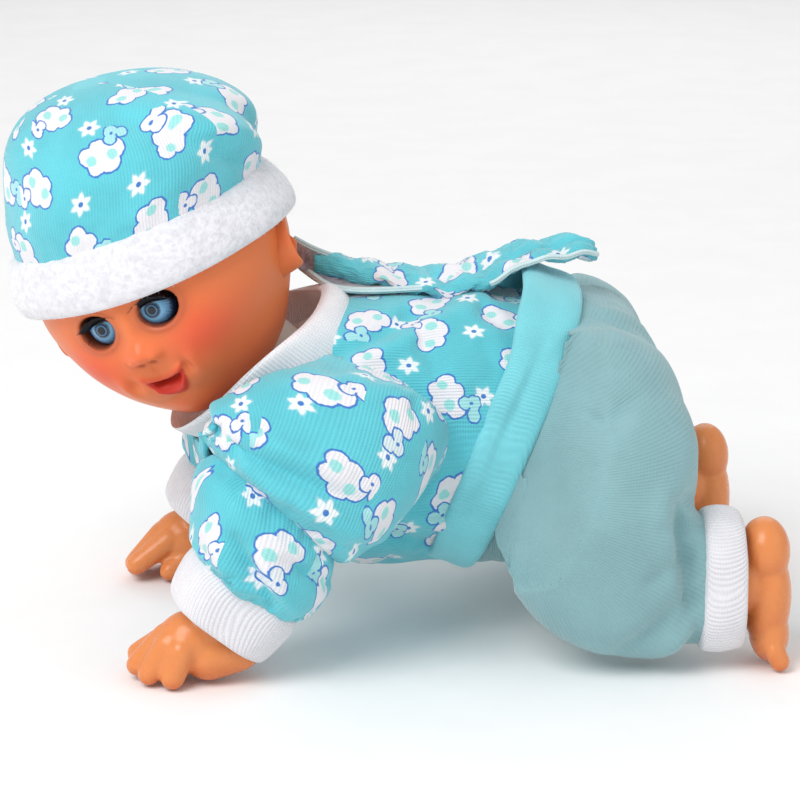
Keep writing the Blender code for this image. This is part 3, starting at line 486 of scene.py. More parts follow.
def puffs(n, where, circles, offset=(0.0, 0.0)):
    """Distance outside the outline of a cloud of several puffs."""
    found = None
    for (x, y), radius in circles:
        one = circle_distance(n, where, (x + offset[0], y + offset[1]), radius)
        found = one if found is None else n.math("MINIMUM", found, one)
    return found


def star_distance(n, where, size):
    """Distance to the outline of a six-pointed star about the origin."""
    x, y, _ = n.split(where)
    angle = n.math("MULTIPLY", n.math("ARCTAN2", y, x), 6 / TAU)
    wave = n.math("ABSOLUTE", n.math("SUBTRACT", n.math("FRACT", angle), 0.5))
    radius = n.math("MULTIPLY_ADD", wave, size * 0.9, size * 0.55)
    return n.math("SUBTRACT", n.vector("LENGTH", where), radius)


def knit_height(n, where, wale, course):
    """Fine ribs of a knit: wales across the first direction, courses along the second."""
    x, y, _ = n.split(where)
    ribs = n.math("SINE", n.math("MULTIPLY", x, TAU / wale))
    loops = n.math("SINE", n.math("MULTIPLY", y, TAU / course))
    return n.math("MULTIPLY_ADD", loops, 0.35, ribs)


def printed_colour(n, where, ground):
    """Clouds with blue outlines and mint patches, and pale stars, on the ground colour."""
    wobble = n.vector("SCALE", n.noise(where, 0.55, 2.0, colour=True), scale=1.0)
    shaken = n.vector("ADD", where, n.vector("SUBTRACT", wobble, (0.5, 0.5, 0.5)))
    local, dice = cell_places(n, shaken, 20.0, (3.0, 5.0), 3.0)
    big = puffs(n, local, CLOUD)
    small = puffs(n, local, SMALL_CLOUD, (-4.6, -5.2))
    outline_big = n.step(n.math("ABSOLUTE", big), 0.36, 0.16)
    outline_small = n.step(n.math("ABSOLUTE", small), 0.34, 0.14)
    patches = puffs(n, local, CLOUD_PATCHES)
    star_local, _ = cell_places(n, where, 20.0, (13.0, 15.2), 11.0)
    star = star_distance(n, star_local, 3.1)
    fleck = n.step(n.math("ABSOLUTE", n.math("SUBTRACT", star, 0.0)), 0.9, 0.0)
    colour = n.mix(n.step(star, 0.3, -0.3), ground, (0.80, 0.86, 0.88))
    colour = n.mix(n.math("MULTIPLY", fleck, 0.25), colour, (0.72, 0.80, 0.84))
    colour = n.mix(n.step(n.vector("LENGTH", star_local), 0.85, 0.55), colour, OUTLINE)
    colour = n.mix(n.step(big, 0.12, -0.12), colour, WHITE)
    inside_patch = n.math("MULTIPLY", n.step(patches, 0.3, -0.3), n.step(big, -0.2, -0.5))
    colour = n.mix(inside_patch, colour, (0.32, 0.72, 0.70))
    colour = n.mix(outline_big, colour, OUTLINE)
    white_or_mint = n.mix(n.step(dice, 0.45, 0.55), WHITE, (0.36, 0.72, 0.74))
    colour = n.mix(n.step(small, 0.12, -0.12), colour, white_or_mint)
    colour = n.mix(outline_small, colour, OUTLINE)
    dot = circle_distance(n, local, (-4.0, -5.4), 0.5)
    return n.mix(n.step(dot, 0.15, -0.15), colour, OUTLINE)


def jersey(name, ground=AQUA, printed=False):
    """Smooth polyester jersey with fine courses."""
    n = Nodes(name)
    where = n.cloth_place()
    cloudy = n.noise(n.place(), 60.0)
    base = n.mix(n.step(cloudy, 0.35, 0.7), ground, tuple(c * 0.88 for c in ground))
    colour = printed_colour(n, where, base) if printed else base
    height = knit_height(n, where, 0.9, 0.7)
    fuzz = n.noise(n.place(), 2200.0, 2.0)
    # The knit's raised loops are painted paler, following the bump's height: a painted highlight
    lit_ridges = n.mix(n.math("MULTIPLY", n.step(height, -1.0, 0.6), 0.10), colour, (0.9, 0.95, 0.95), "SOFT_LIGHT")
    normal = n.bump(height, 0.00012, 0.55)
    normal = n.bump(fuzz, 0.00010, 0.35, normal)
    rough = n.ramp(fuzz, (0.2, 0.70), (0.8, 0.88))
    return n.finish(lit_ridges, rough, normal, Sheen_Weight=0.35, Sheen_Roughness=0.5, Specular_IOR_Level=0.25)


def ribbed(name, ground, wale, depth, shade=0.80):
    """A ribbed knit, with its ribs running along the cloth's second direction."""
    n = Nodes(name)
    where = n.cloth_place()
    height = knit_height(n, where, wale, 0.8)
    cloudy = n.noise(n.place(), 45.0)
    shaded = n.mix(n.step(height, -1.1, 0.9), tuple(c * shade for c in ground), ground)
    colour = n.mix(n.step(cloudy, 0.4, 0.65), shaded, tuple(min(c * 1.06, 1.0) for c in ground))
    fuzz = n.noise(n.place(), 2400.0, 2.0)
    normal = n.bump(height, depth, 0.8)
    normal = n.bump(fuzz, 0.00012, 0.4, normal)
    rough = n.ramp(fuzz, (0.2, 0.74), (0.8, 0.92))
    return n.finish(colour, rough, normal, Sheen_Weight=0.3, Sheen_Roughness=0.55, Specular_IOR_Level=0.2)


def fleece(name, light, dark):
    """Brushed fleece: tufts at two scales with a soft sheen."""
    n = Nodes(name)
    where = n.place()
    tufts = n.noise(where, 520.0, 5.0, 0.65)
    lumps = n.noise(where, 130.0, 3.0)
    # Low tufts and lumps are painted darker, following the bump's height: painted shade in the fleece's
    # hollows
    colour = n.mix(n.step(tufts, 0.3, 0.62), dark, light)
    colour = n.mix(n.math("MULTIPLY", n.step(lumps, 0.55, 0.35), 0.35), colour, dark)
    height = n.math("MULTIPLY_ADD", lumps, 1.5, tufts)
    normal = n.bump(height, 0.0007, 0.8)
    return n.finish(colour, 0.95, normal, Sheen_Weight=0.8, Sheen_Roughness=0.6, Specular_IOR_Level=0.1)


def vinyl(name, gloss):
    """Soft skin-coloured vinyl, its colour sprayed on, from the mesh's own paint, which also holds painted
    shade in the hollows and on the undersides.
    """
    n = Nodes(name)
    colour = n.new("ShaderNodeVertexColor", layer_name="paint").outputs["Color"]
    mottle = n.noise(n.place(), 260.0, 4.0)
    colour = n.mix(n.math("MULTIPLY", mottle, 0.10), colour, (0.85, 0.30, 0.12))
    grain = n.noise(n.place(), 1500.0, 2.0)
    normal = n.bump(n.noise(n.place(), 90.0, 2.0), 0.0004, 0.25)
    normal = n.bump(grain, 0.00004, 0.4, normal)
    rough = n.ramp(mottle, (0.3, gloss), (0.75, gloss + 0.1))
    return n.finish(
        colour, rough, normal,
        Subsurface_Weight=0.12, Subsurface_Scale=0.004, Subsurface_Radius=(1.0, 0.35, 0.2),
        Coat_Weight=0.12, Coat_Roughness=0.25, Specular_IOR_Level=0.3,
    )


def hard_plastic(name, colour, roughness, grain=900.0):
    """Injection-moulded plastic with a fine spark-eroded grain and faint flow marks."""
    n = Nodes(name)
    flow = n.noise(n.place(), 35.0, 4.0)
    fine = n.noise(n.place(), grain, 3.0)
    shade = n.mix(n.step(flow, 0.3, 0.7), colour, tuple(c * 0.88 for c in colour))
    rough = n.ramp(fine, (0.25, roughness - 0.06), (0.8, roughness + 0.12))
    return n.finish(shade, rough, n.bump(fine, 0.00006, 0.4), Coat_Weight=0.05, Coat_Roughness=0.4)


def metal(name, colour):
    """Drawn and tumbled metal with fine scratches."""
    n = Nodes(name)
    brushed = n.noise(n.vector("MULTIPLY", n.place(), (1.0, 1.0, 14.0)), 700.0, 4.0)
    stain = n.noise(n.place(), 150.0)
    shade = n.mix(n.step(stain, 0.4, 0.75), colour, tuple(c * 0.72 for c in colour))
    rough = n.ramp(brushed, (0.25, 0.22), (0.75, 0.45))
    return n.finish(shade, rough, n.bump(brushed, 0.00005, 0.5), Metallic=1.0)


def cell_wrap(name):
    """A battery's printed sleeve: dark, with a copper-coloured band at one end."""
    n = Nodes(name)
    x, _, _ = n.split(n.place())
    band = n.step(x, 0.016, 0.0165)
    scuff = n.noise(n.place(), 420.0, 4.0)
    colour = n.mix(band, (0.03, 0.035, 0.05), (0.55, 0.28, 0.09))
    colour = n.mix(n.math("MULTIPLY", n.step(scuff, 0.6, 0.8), 0.3), colour, (0.5, 0.5, 0.5))
    rough = n.ramp(scuff, (0.3, 0.25), (0.8, 0.5))
    return n.finish(colour, rough, n.bump(scuff, 0.00003, 0.4), Coat_Weight=0.4, Coat_Roughness=0.15)


def circuit_board(name):
    """Green solder mask over tracks, with tinned pads."""
    n = Nodes(name)
    tracks = n.new("ShaderNodeTexVoronoi", feature="DISTANCE_TO_EDGE", distance="MANHATTAN")
    n.feed(tracks.inputs["Vector"], n.place())
    tracks.inputs["Scale"].default_value = 420.0
    line = n.step(tracks.outputs["Distance"], 0.12, 0.06)
    pads = n.step(n.noise(n.place(), 600.0, 0.0), 0.68, 0.72)
    colour = n.mix(line, (0.01, 0.10, 0.04), (0.02, 0.22, 0.08))
    colour = n.mix(pads, colour, (0.62, 0.62, 0.60))
    height = n.math("MAXIMUM", line, pads)
    return n.finish(colour, n.ramp(pads, (0.0, 0.3), (1.0, 0.22)), n.bump(height, 0.00008, 0.6))


def speaker_paper(name):
    """A small speaker: fibrous dark cone paper."""
    n = Nodes(name)
    fibre = n.noise(n.vector("MULTIPLY", n.place(), (1.0, 3.0, 1.0)), 900.0, 5.0)
    colour = n.mix(n.step(fibre, 0.35, 0.7), (0.035, 0.03, 0.028), (0.12, 0.10, 0.085))
    return n.finish(colour, n.ramp(fibre, (0.2, 0.7), (0.8, 0.95)), n.bump(fibre, 0.0001, 0.6))


def eye_gloss(name):
    """A sleeping doll's eye: printed blue iris, black lash line that also serves as painted shade under the
    lid, and skin-coloured lid under a clear gloss.
    """
    n = Nodes(name)
    where = n.cloth_place()
    x, y, _ = n.split(where)
    r = n.vector("LENGTH", where)
    angle = n.math("ARCTAN2", y, x)
    spokes = n.noise(n.join(n.math("MULTIPLY", angle, 4.0), n.math("MULTIPLY", r, 0.5)), 3.0, 4.0, 0.7)
    ringed = n.ramp(
        n.math("DIVIDE", r, 6.6),
        (0.0, (0.004, 0.006, 0.012)),
        (0.17, (0.004, 0.006, 0.012)),
        (0.20, (0.07, 0.22, 0.38)),
        (0.25, (0.008, 0.02, 0.05)),
        (0.33, (0.01, 0.035, 0.08)),
        (0.39, (0.16, 0.40, 0.62)),
        (0.56, (0.09, 0.27, 0.48)),
        (0.70, (0.03, 0.11, 0.24)),
        (0.82, (0.008, 0.02, 0.05)),
        (1.0, (0.01, 0.012, 0.02)),
    )
    streak = n.math("MULTIPLY", n.step(spokes, 0.45, 0.7), n.step(r, 1.7, 2.2))
    streak = n.math("MULTIPLY", streak, n.step(r, 5.2, 4.6))
    colour = n.mix(n.math("MULTIPLY", streak, 0.5), ringed, (0.30, 0.58, 0.80))
    bend = n.math("MULTIPLY_ADD", n.math("MULTIPLY", x, x), -0.06, 2.0)
    above = n.math("SUBTRACT", y, bend)
    # A black band above the iris: the lid's black lash line, drawn wide so that it also stands for painted
    # shade under the lid; above it, the skin-coloured lid
    colour = n.mix(n.step(above, -0.15, 0.15), colour, (0.006, 0.006, 0.010))
    colour = n.mix(n.step(above, 2.6, 3.0), colour, (0.72, 0.30, 0.14))
    rough = n.ramp(spokes, (0.3, 0.08), (0.8, 0.16))
    return n.finish(colour, rough, None, Specular_IOR_Level=0.2, Coat_Weight=0.6, Coat_Roughness=0.03)


def lash_black(name):
    n = Nodes(name)
    strand = n.noise(n.vector("MULTIPLY", n.place(), (1.0, 6.0, 1.0)), 1500.0, 3.0)
    colour = n.mix(n.step(strand, 0.3, 0.8), (0.004, 0.004, 0.006), (0.03, 0.026, 0.03))
    return n.finish(colour, n.ramp(strand, (0.2, 0.35), (0.8, 0.6)), n.bump(strand, 0.00005, 0.4))


def floor_card(name):
    n = Nodes(name)
    paper = n.noise(n.place(), 30.0, 4.0)
    colour = n.mix(n.step(paper, 0.3, 0.7), (0.93, 0.93, 0.93), (0.95, 0.95, 0.95))
    return n.finish(colour, 0.9, None, Specular_IOR_Level=0.0)


def make_materials():
    return {
        "print_jersey": jersey("print_jersey", printed=True),
        "plain_jersey": jersey("plain_jersey", PALE_AQUA),
        "mint_knit": ribbed("mint_knit", MINT, 1.0, 0.00007, shade=0.94),
        "white_rib": ribbed("white_rib", WHITE, 1.2, 0.00013, shade=0.90),
        "collar_rib": ribbed("collar_rib", (0.86, 0.85, 0.88), 1.15, 0.00012, shade=0.92),
        "pale_binding": ribbed("pale_binding", (0.62, 0.80, 0.82), 1.0, 0.00015),
        "white_fleece": fleece("white_fleece", (0.80, 0.79, 0.83), (0.66, 0.65, 0.70)),
        # The hood's lining is white fleece; its grey colours are painted shade for the inside of the hood
        "hood_lining": fleece("hood_lining", (0.42, 0.38, 0.43), (0.22, 0.18, 0.22)),
        "skin_vinyl": vinyl("skin_vinyl", 0.40),
        "limb_plastic": vinyl("limb_plastic", 0.22),
        "eye_gloss": eye_gloss("eye_gloss"),
        "lash_black": lash_black("lash_black"),
        "body_plastic": hard_plastic("body_plastic", (0.78, 0.74, 0.68), 0.42),
        "mechanism_plastic": hard_plastic("mechanism_plastic", (0.10, 0.11, 0.13), 0.38),
        "gear_nylon": hard_plastic("gear_nylon", (0.85, 0.84, 0.80), 0.34, 1400.0),
        "steel": metal("steel", (0.62, 0.62, 0.64)),
        "cell_wrap": cell_wrap("cell_wrap"),
        "circuit_board": circuit_board("circuit_board"),
        "speaker_paper": speaker_paper("speaker_paper"),
    }


def dress(made, material, body, slot, *nodes):
    """Gives a finished piece its material, its body and the CAD nodes it stands for."""
    made.data.materials.clear()
    made.data.materials.append(material)
    if body is not None:
        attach(made, body)
    if nodes:
        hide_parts(*nodes)
    return made


def repaint_cad(mats):
    """Every CAD node that stays in view gets the detailed material of its slot."""
    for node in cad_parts.values():
        if not node.hide_render:
            slot = node.data.materials[0].name.split(".")[0]
            node.data.materials.clear()
            node.data.materials.append(mats[slot])


# ---------------------------------------------------------------- head
SKIN = np.array([0.80, 0.20, 0.062])
BLUSH = np.array([0.76, 0.065, 0.028])
LIP = np.array([0.62, 0.015, 0.012])
# Dark red-brown: painted shade round the eye sockets and in the nostrils
HOLLOW_SHADE = np.array([0.40, 0.09, 0.04])
BROW = np.array([0.22, 0.07, 0.03])


def face_relief(a, b, front):
    """How far the face stands out of its ovoid at a, to the doll's left, and b, up; 0 behind the ears."""
    side = np.abs(a)
    lift = 2.6 * hill(side, b, (16.5, -15.0), (11.0, 9.5))  # cheeks
    lift += 1.6 * hill(side, b, (11.0, -24.0), (7.0, 5.0))  # jowls beside the mouth
    lift -= 1.5 * hill(side, b, (EYE_Y, EYE_Z), (8.0, 6.0))  # eye sockets
    lift += 0.8 * hill(side, b, (EYE_Y, 6.5), (9.0, 4.0))  # brows
    lift += 1.3 * hill(a, b, (0.0, -5.5), (2.8, 5.5))  # bridge of the nose
    lift += 4.3 * hill(a, b, (0.0, -12.2), (3.7, 3.1))  # tip
    lift += 1.9 * hill(side, b, (3.9, -13.4), (2.0, 1.9))  # wings
    lift -= 1.6 * hill(side, b, (1.9, -15.3), (1.0, 0.8))  # nostrils
    lift -= 0.5 * hill(a, b, (0.0, -18.4), (1.1, 1.8))  # groove under the nose
    lift += 2.6 * hill(a, b, (0.0, -34.0), (8.0, 4.6))  # chin
    lift -= 1.1 * hill(a, b, (0.0, -29.4), (6.0, 1.6))
    lift -= 1.3 * hill(side, b, (9.6, -20.6), (1.6, 2.4))  # dimples where the smile ends
    lift += 0.9 * hill(side, b, (12.2, -19.4), (1.8, 3.4))
    _, opening, upper, lower = mouth_lines(a, b)
    lift += 1.1 * upper + 1.9 * lower - 2.6 * opening
    return lift * front


def mouth_lines(a, b):
    """Height above the mouth's upper edge, its open part and its upper and lower lips as 0 to 1 masks."""
    a = a - 0.9  # a slightly crooked smile
    edge = -22.0 + 0.040 * a**2
    gap = b - edge
    half = 6.9
    bowl = 6.6 * np.sqrt(np.maximum(1 - (a / half) ** 2, 0.0))  # the lower lip hangs in a round curve
    inside = smooth(0.0, 0.5, -gap) * smooth(0.4, -0.2, -gap - bowl) * (np.abs(a) < half)
    opening = np.exp(-(((gap + 1.3) / 0.8) ** 2)) * smooth(6.2, 3.6, np.abs(a))
    upper = np.exp(-(((gap - 0.5) / 0.85) ** 2)) * smooth(8.6, 6.0, np.abs(a))
    lower = np.exp(-(((gap + bowl * 0.66) / 1.5) ** 2)) * smooth(6.6, 4.2, np.abs(a))
    return inside, opening, upper, lower


def eye_hole(a, b):
    """0 at the middle of an eye opening, 1 at its rim."""
    return np.sqrt(((np.abs(a) - EYE_Y) / EYE_HOLE[0]) ** 2 + ((b - EYE_Z - 0.3) / EYE_HOLE[1]) ** 2)


def head_grid():
    """Points round the head's ovoid, crowded on the face, with the face's middle as one pole."""
    face_rings = np.linspace(0.010, 1.06, 104)
    back_rings = np.linspace(1.06, math.pi - 0.02, 52)[1:]
    rings = np.concatenate([face_rings, back_rings])[:, None]
    turn = (TAU * np.arange(264) / 264)[None, :]
    left = np.sin(rings) * np.cos(turn)
    up = np.sin(rings) * np.sin(turn)
    front = np.cos(rings) + 0 * turn
    return left, up, front


def face_paint(a, b, front):
    """Sprayed and printed colours of the face, with painted shade round and inside the eye openings and in the
    nostrils.
    """
    side = np.abs(a)
    colour = np.tile(SKIN, a.shape + (1,))

    def lay_on(mask, tint):
        nonlocal colour
        colour = colour + (tint - colour) * (mask * front)[..., None]

    inside, opening, upper, _ = mouth_lines(a, b)
    hole = eye_hole(a, b)
    lay_on(0.75 * hill(side, b, (18.0, -13.5), (10.5, 8.5)), BLUSH)
    lay_on(0.35 * hill(a, b, (0.0, -34.0), (10.0, 5.0)), BLUSH)
    lay_on(0.25 * hill(a, b, (0.0, -12.0), (4.0, 4.0)), BLUSH)
    # Painted shade round each eye opening, deeper below the eye
    below = smooth(2.0, -6.0, b)
    lay_on((0.25 + 0.45 * below) * np.exp(-((np.maximum(hole - 1.0, 0) / 0.45) ** 2)), HOLLOW_SHADE)
    # The opening's rim is painted dark red and its inside near black: painted shade in the recess round the
    # eyeball
    lay_on(smooth(1.03, 0.97, hole), np.array([0.16, 0.035, 0.02]))
    lay_on(smooth(0.97, 0.90, hole), np.array([0.02, 0.01, 0.01]))
    # Painted shade in the nostrils
    lay_on(0.9 * hill(side, b, (1.9, -15.5), (1.2, 0.9)), HOLLOW_SHADE)
    lay_on(0.65 * upper, LIP)
    lay_on(0.95 * inside, LIP)
    lay_on(0.75 * opening, np.array([0.26, 0.006, 0.006]))
    for slant, reach, offset in ((0.10, 1.0, 0.0), (0.34, 0.8, 1.5), (0.55, 0.55, 2.6)):
        stroke = np.abs((b - 6.6 - offset) - slant * (side - 10.0))
        mask = np.exp(-((stroke / 0.22) ** 2)) * np.exp(-(((side - 10.5) / (4.6 * reach)) ** 6))
        lay_on(0.55 * mask, BROW)
    return colour


def set_paint(made, colours):
    """Stores one colour for each vertex as the paint that the vinyl shows."""
    layer = made.data.color_attributes.new("paint", "FLOAT_COLOR", "POINT")
    rgba = np.concatenate([colours.reshape(-1, 3), np.ones((colours.size // 3, 1))], axis=1)
    layer.data.foreach_set("color", rgba.astype(np.float32).ravel())


def jaw_width(height):
    """The head narrows from the ears down to the neck."""
    return 1.0 - 0.14 * smooth(3.0, -27.0, height)


def make_head(mats):
    left, up, front = head_grid()
    a, b = HEAD_RADII[1] * left, HEAD_RADII[2] * up
    base = np.stack([-HEAD_RADII[0] * front, -a, b], axis=2)
    outwards = base / HEAD_RADII**2
    outwards /= np.linalg.norm(outwards, axis=2, keepdims=True)
    facing = smooth(0.05, 0.45, front)
    forward = np.array([-1.0, 0.0, 0.0])
    push = outwards * 0.6 + forward * 0.4 * facing[..., None]
    shaped = base + push * face_relief(a, b, facing)[..., None]
    hole = eye_hole(a, b)
    depth = 5.2 * smooth(1.0, 0.90, hole) * facing
    rim = 0.45 * np.exp(-(((hole - 1.16) / 0.12) ** 2)) * facing
    shaped += forward * (rim - depth)[..., None]
    shaped[..., 1] *= jaw_width(shaped[..., 2])
    head = loft("head_skin", head_to_world(shaped.reshape(-1, 3)).reshape(shaped.shape), ends=(True, True))
    paint = face_paint(a, b, facing)
    poles = np.stack([SKIN, SKIN])
    set_paint(head, np.concatenate([paint.reshape(-1, 3), poles]))
    dress(head, mats["skin_vinyl"], "head", "skin_vinyl", "head_shell")
    for word, side in SIDES.items():
        make_ear(word, side, mats)


def make_ear(word, side, mats):
    """A cupped ear: rolled rim, hollow bowl and lobe, on the side of the head."""
    rows, columns = 26, 72
    r = np.linspace(0.02, 1.0, rows)[:, None]
    t = (TAU * np.arange(columns) / columns)[None, :]
    wide = 5.8 - 0.8 * np.sin(t)
    tall = 9.2 + 0.6 * np.sin(t)
    fore = -r * wide * np.cos(t) * (1.0 - 0.25 * smooth(0.0, 1.0, np.cos(t)))
    up = r * tall * np.sin(t)
    behind = smooth(0.9, -0.4, np.cos(t) + 0.45 * (np.sin(t) < 0) * np.sin(-t))
    rim = 2.5 * np.exp(-(((r - 0.80) / 0.15) ** 2)) * (0.35 + 0.65 * behind)
    bowl = 2.4 * np.exp(-((r / 0.52) ** 2.0))
    tragus = 1.4 * hill(fore, up, (-3.2, -1.0), (1.3, 2.0))
    stand = (2.9 + 1.9 * behind) * (1 - smooth(0.82, 1.0, r) * 0.95)
    out = stand + rim * (1 - smooth(0.9, 1.0, r)) - bowl + tragus
    tuck = 1.6 * smooth(0.86, 1.0, r)
    place = np.stack([1.3 - fore, side * (32.6 + out - tuck), -6.6 + up], axis=2)
    # The ear's bowl and its rear half are painted darker and redder: painted shade
    ear_shade = (0.65 * np.exp(-((r / 0.62) ** 2)) + 0.15 * behind)[..., None]
    paint = SKIN * (1 - ear_shade) + np.array([0.62, 0.13, 0.035]) * ear_shade
    ear = loft(f"ear_{word}", head_to_world(place.reshape(-1, 3)).reshape(place.shape), ends=(True, False))
    set_paint(ear, np.concatenate([paint.reshape(-1, 3), paint[0, :1]]))
    dress(ear, mats["skin_vinyl"], "head", "skin_vinyl")


def eye_frame(side):
    """The eyeball's centre and its outward, leftward and upward directions, in the head's frame."""
    depth, width, tall = HEAD_RADII
    x = -depth * math.sqrt(1 - (EYE_Y / width) ** 2 - (EYE_Z / tall) ** 2)
    normal = np.array([x / depth**2, side * EYE_Y / width**2, EYE_Z / tall**2])
    normal /= np.linalg.norm(normal)
    outward = np.array([-1.0, 0.0, 0.0]) * 0.75 + normal * 0.25
    outward /= np.linalg.norm(outward)
    leftward = np.cross(outward, (0.0, 0.0, 1.0))
    leftward *= -np.sign(leftward[1]) / np.linalg.norm(leftward)
    upward = np.cross(leftward, outward)
    upward *= np.sign(upward[2])
    skin = np.array([x, side * EYE_Y, EYE_Z])
    return skin - normal * EYE_DEPTH + outward * EYE_FORWARD, outward, leftward, upward


def make_eyes(mats):
    for word, side in SIDES.items():
        centre, outward, leftward, upward = eye_frame(side)
        make_eyeball(word, centre, outward, leftward, upward, mats)
        make_lashes(word, centre, outward, leftward, upward, mats)


def make_eyeball(word, centre, outward, leftward, upward, mats):
    """A ball with a low cornea bulge; its UVs are millimetres across the iris."""
    polar = np.linspace(0.03, math.pi - 0.03, 44)[:, None]
    turn = (TAU * np.arange(64) / 64)[None, :]
    across, high = np.sin(polar) * np.cos(turn), np.sin(polar) * np.sin(turn)
    deep = np.cos(polar) + 0 * turn
    radius = EYEBALL_R + 0.7 * np.exp(-((polar / 0.5) ** 2))
    points = centre + (
        (radius * across)[..., None] * leftward
        + (radius * high)[..., None] * upward
        + (radius * deep)[..., None] * outward
    )
    world = head_to_world(points.reshape(-1, 3)).reshape(points.shape)
    ball_made = loft(f"eyeball_{word}_gloss", world, ends=(True, True))
    middle = head_to_world(centre)
    left_w, up_w = HEAD_TURN @ leftward, HEAD_TURN @ upward
    away = vertices(ball_made) - middle
    behind = (away @ (HEAD_TURN @ outward) < 0)[:, None]
    uv = np.stack([away @ left_w, away @ up_w], axis=1)
    uv = np.where(behind, np.sign(uv) * (2 * EYEBALL_R) - uv, uv)
    loops = np.zeros(len(ball_made.data.loops), np.int32)
    ball_made.data.loops.foreach_get("vertex_index", loops)
    ball_made.data.uv_layers["cloth"].uv.foreach_set("vector", uv[loops].astype(np.float32).ravel())
    dress(ball_made, mats["eye_gloss"], f"eye_{word}", "eye_gloss", f"eyeball_{word}")


def make_lashes(word, centre, outward, leftward, upward, mats):
    """A dense curved row of stiff lashes along the lid's edge, swept forwards."""
    random = np.random.default_rng(7)
    points = []
    faces = []
    count = 46
    for k in range(count):
        s = k / (count - 1) * 2 - 1  # from the doll's right corner to its left corner
        root = centre + leftward * (4.6 * s) + upward * (2.6 - 1.5 * s * s)
        root = root + outward * math.sqrt(max(EYEBALL_R**2 - np.sum((root - centre) ** 2), 0.0)) * 1.0
        spread = leftward * (0.55 * s + 0.05 * random.standard_normal())
        spread = spread + upward * (0.05 + 0.35 * (1 - s * s))
        reach = 3.0 + 1.6 * abs(s) ** 2 + 0.5 * random.random()
        direction = outward + spread
        direction /= np.linalg.norm(direction)
        side = np.cross(direction, upward)
        side /= np.linalg.norm(side)
        over = np.cross(side, direction)
        start = len(points)
        for t, width in ((0.0, 0.30), (0.35, 0.26), (0.7, 0.16), (1.0, 0.02)):
            spine = root - outward * 0.4 + direction * reach * t + over * (0.9 * t * t - 0.5 * t)
            for angle in (0, 2, 4):
                turn = angle * math.pi / 3
                points.append(spine + width * (side * math.cos(turn) + over * math.sin(turn)))
        for ring in range(3):
            for j in range(3):
                p, q = start + ring * 3 + j, start + ring * 3 + (j + 1) % 3
                faces.append((p, q, q + 3, p + 3))
        faces += [(start + 2, start + 1, start), (start + 9, start + 10, start + 11)]
    lashes = make_mesh(f"lashes_{word}", head_to_world(np.array(points)), faces)
    dress(lashes, mats["lash_black"], f"eye_{word}", "lash_black", f"eyelash_{word}")


# ---------------------------------------------------------------- cap
# height above the head's centre, radius, flop towards the doll's left
CROWN = [
    (15.6, 36.6, 0.0),
    (20.0, 36.4, -1.2),
    (25.5, 35.6, -3.3),
    (31.0, 35.0, -5.6),
    (36.3, 34.2, -7.2),
    (41.5, 32.2, -7.6),
    (46.3, 28.6, -6.8),
    (50.9, 22.4, -5.6),
    (54.2, 14.0, -4.6),
    (55.4, 5.0, -4.2),
]
CROWN_LEAN = 0.18  # its top rises towards the doll's right
# height and offset round the brim's section, outside first
BRIM = [
    (3.6, 1.2),
    (3.3, 2.6),
    (4.2, 3.9),
    (7.0, 4.8),
    (10.0, 5.2),
    (13.0, 5.2),
    (15.6, 5.0),
    (17.8, 4.7),
    (19.4, 3.7),
    (19.4, 2.2),
    (17.2, 1.4),
    (14.0, 1.0),
    (9.0, 0.9),
]
BRIM_TILT = 0.075  # the cap sits higher on the doll's right


def head_ring(height, offset, count):
    """A ring round the head's ovoid, in the head's frame."""
    depth, width, tall = HEAD_RADII
    shrink = np.sqrt(np.maximum(1 - (height / tall) ** 2, 0.0))
    turn = TAU * np.arange(count) / count
    x = (depth * shrink + offset) * np.cos(turn)
    y = (width * shrink + offset) * np.sin(turn)
    return np.stack([x, y, height + 0 * turn], axis=1)


def make_cap(mats):
    count = 112
    stations = spline(CROWN, 40)
    turn = TAU * np.arange(count) / count
    across = stations[:, 1:2] * np.sin(turn) + stations[:, 2:]
    rings = np.stack([stations[:, 1:2] * np.cos(turn) * 1.02, across, stations[:, :1] + 0 * across], axis=2)
    rise = smooth(16.0, 30.0, stations[:, 0])[:, None] * smooth(57.0, 50.0, stations[:, 0])[:, None]
    for angle, slant, height, width in CAP_FOLDS:
        away = np.angle(np.exp(1j * (turn[None, :] - angle - slant * (stations[:, :1] - 30.0))))
        ridge = height * np.exp(-((away / width) ** 2)) * rise
        rings[..., :2] *= 1 + ridge[..., None] / 45.0
    lean = np.interp(stations[:, :1], (20.0, 42.0), (BRIM_TILT, CROWN_LEAN))
    rings[..., 2] += lean * rings[..., 1]
    world = head_to_world(rings.reshape(-1, 3)).reshape(rings.shape)
    crown = loft("cap_crown_cloth", world, ends=(False, True), seam=11.0, panels=3)
    held = np.concatenate([np.repeat(smooth(22.0, 15.6, stations[:, 0]), count), [0.0]])
    settle(crown, held, growth=0.04, pressure=2.5, most=1.8)
    refine(crown)
    thicken(crown, CLOTH)
    dress(crown, mats["print_jersey"], "cap", "print_jersey", "cap_crown")
    declare_sheet(crown)
    make_brim(mats)


# angle round the cap (0 at the back, a quarter turn at the doll's right), lean, height and width of each fold
CAP_FOLDS = [
    (2.75, 0.030, 2.2, 0.30),
    (3.35, -0.022, -1.8, 0.22),
    (3.9, 0.018, 2.0, 0.26),
    (4.30, -0.034, -2.6, 0.16),
    (4.62, -0.034, 3.2, 0.20),
    (5.05, -0.030, -2.4, 0.16),
    (5.5, 0.012, 1.8, 0.24),
    (0.3, 0.020, 2.0, 0.30),
    (1.2, -0.015, -1.8, 0.24),
    (2.0, 0.016, 1.8, 0.26),
]


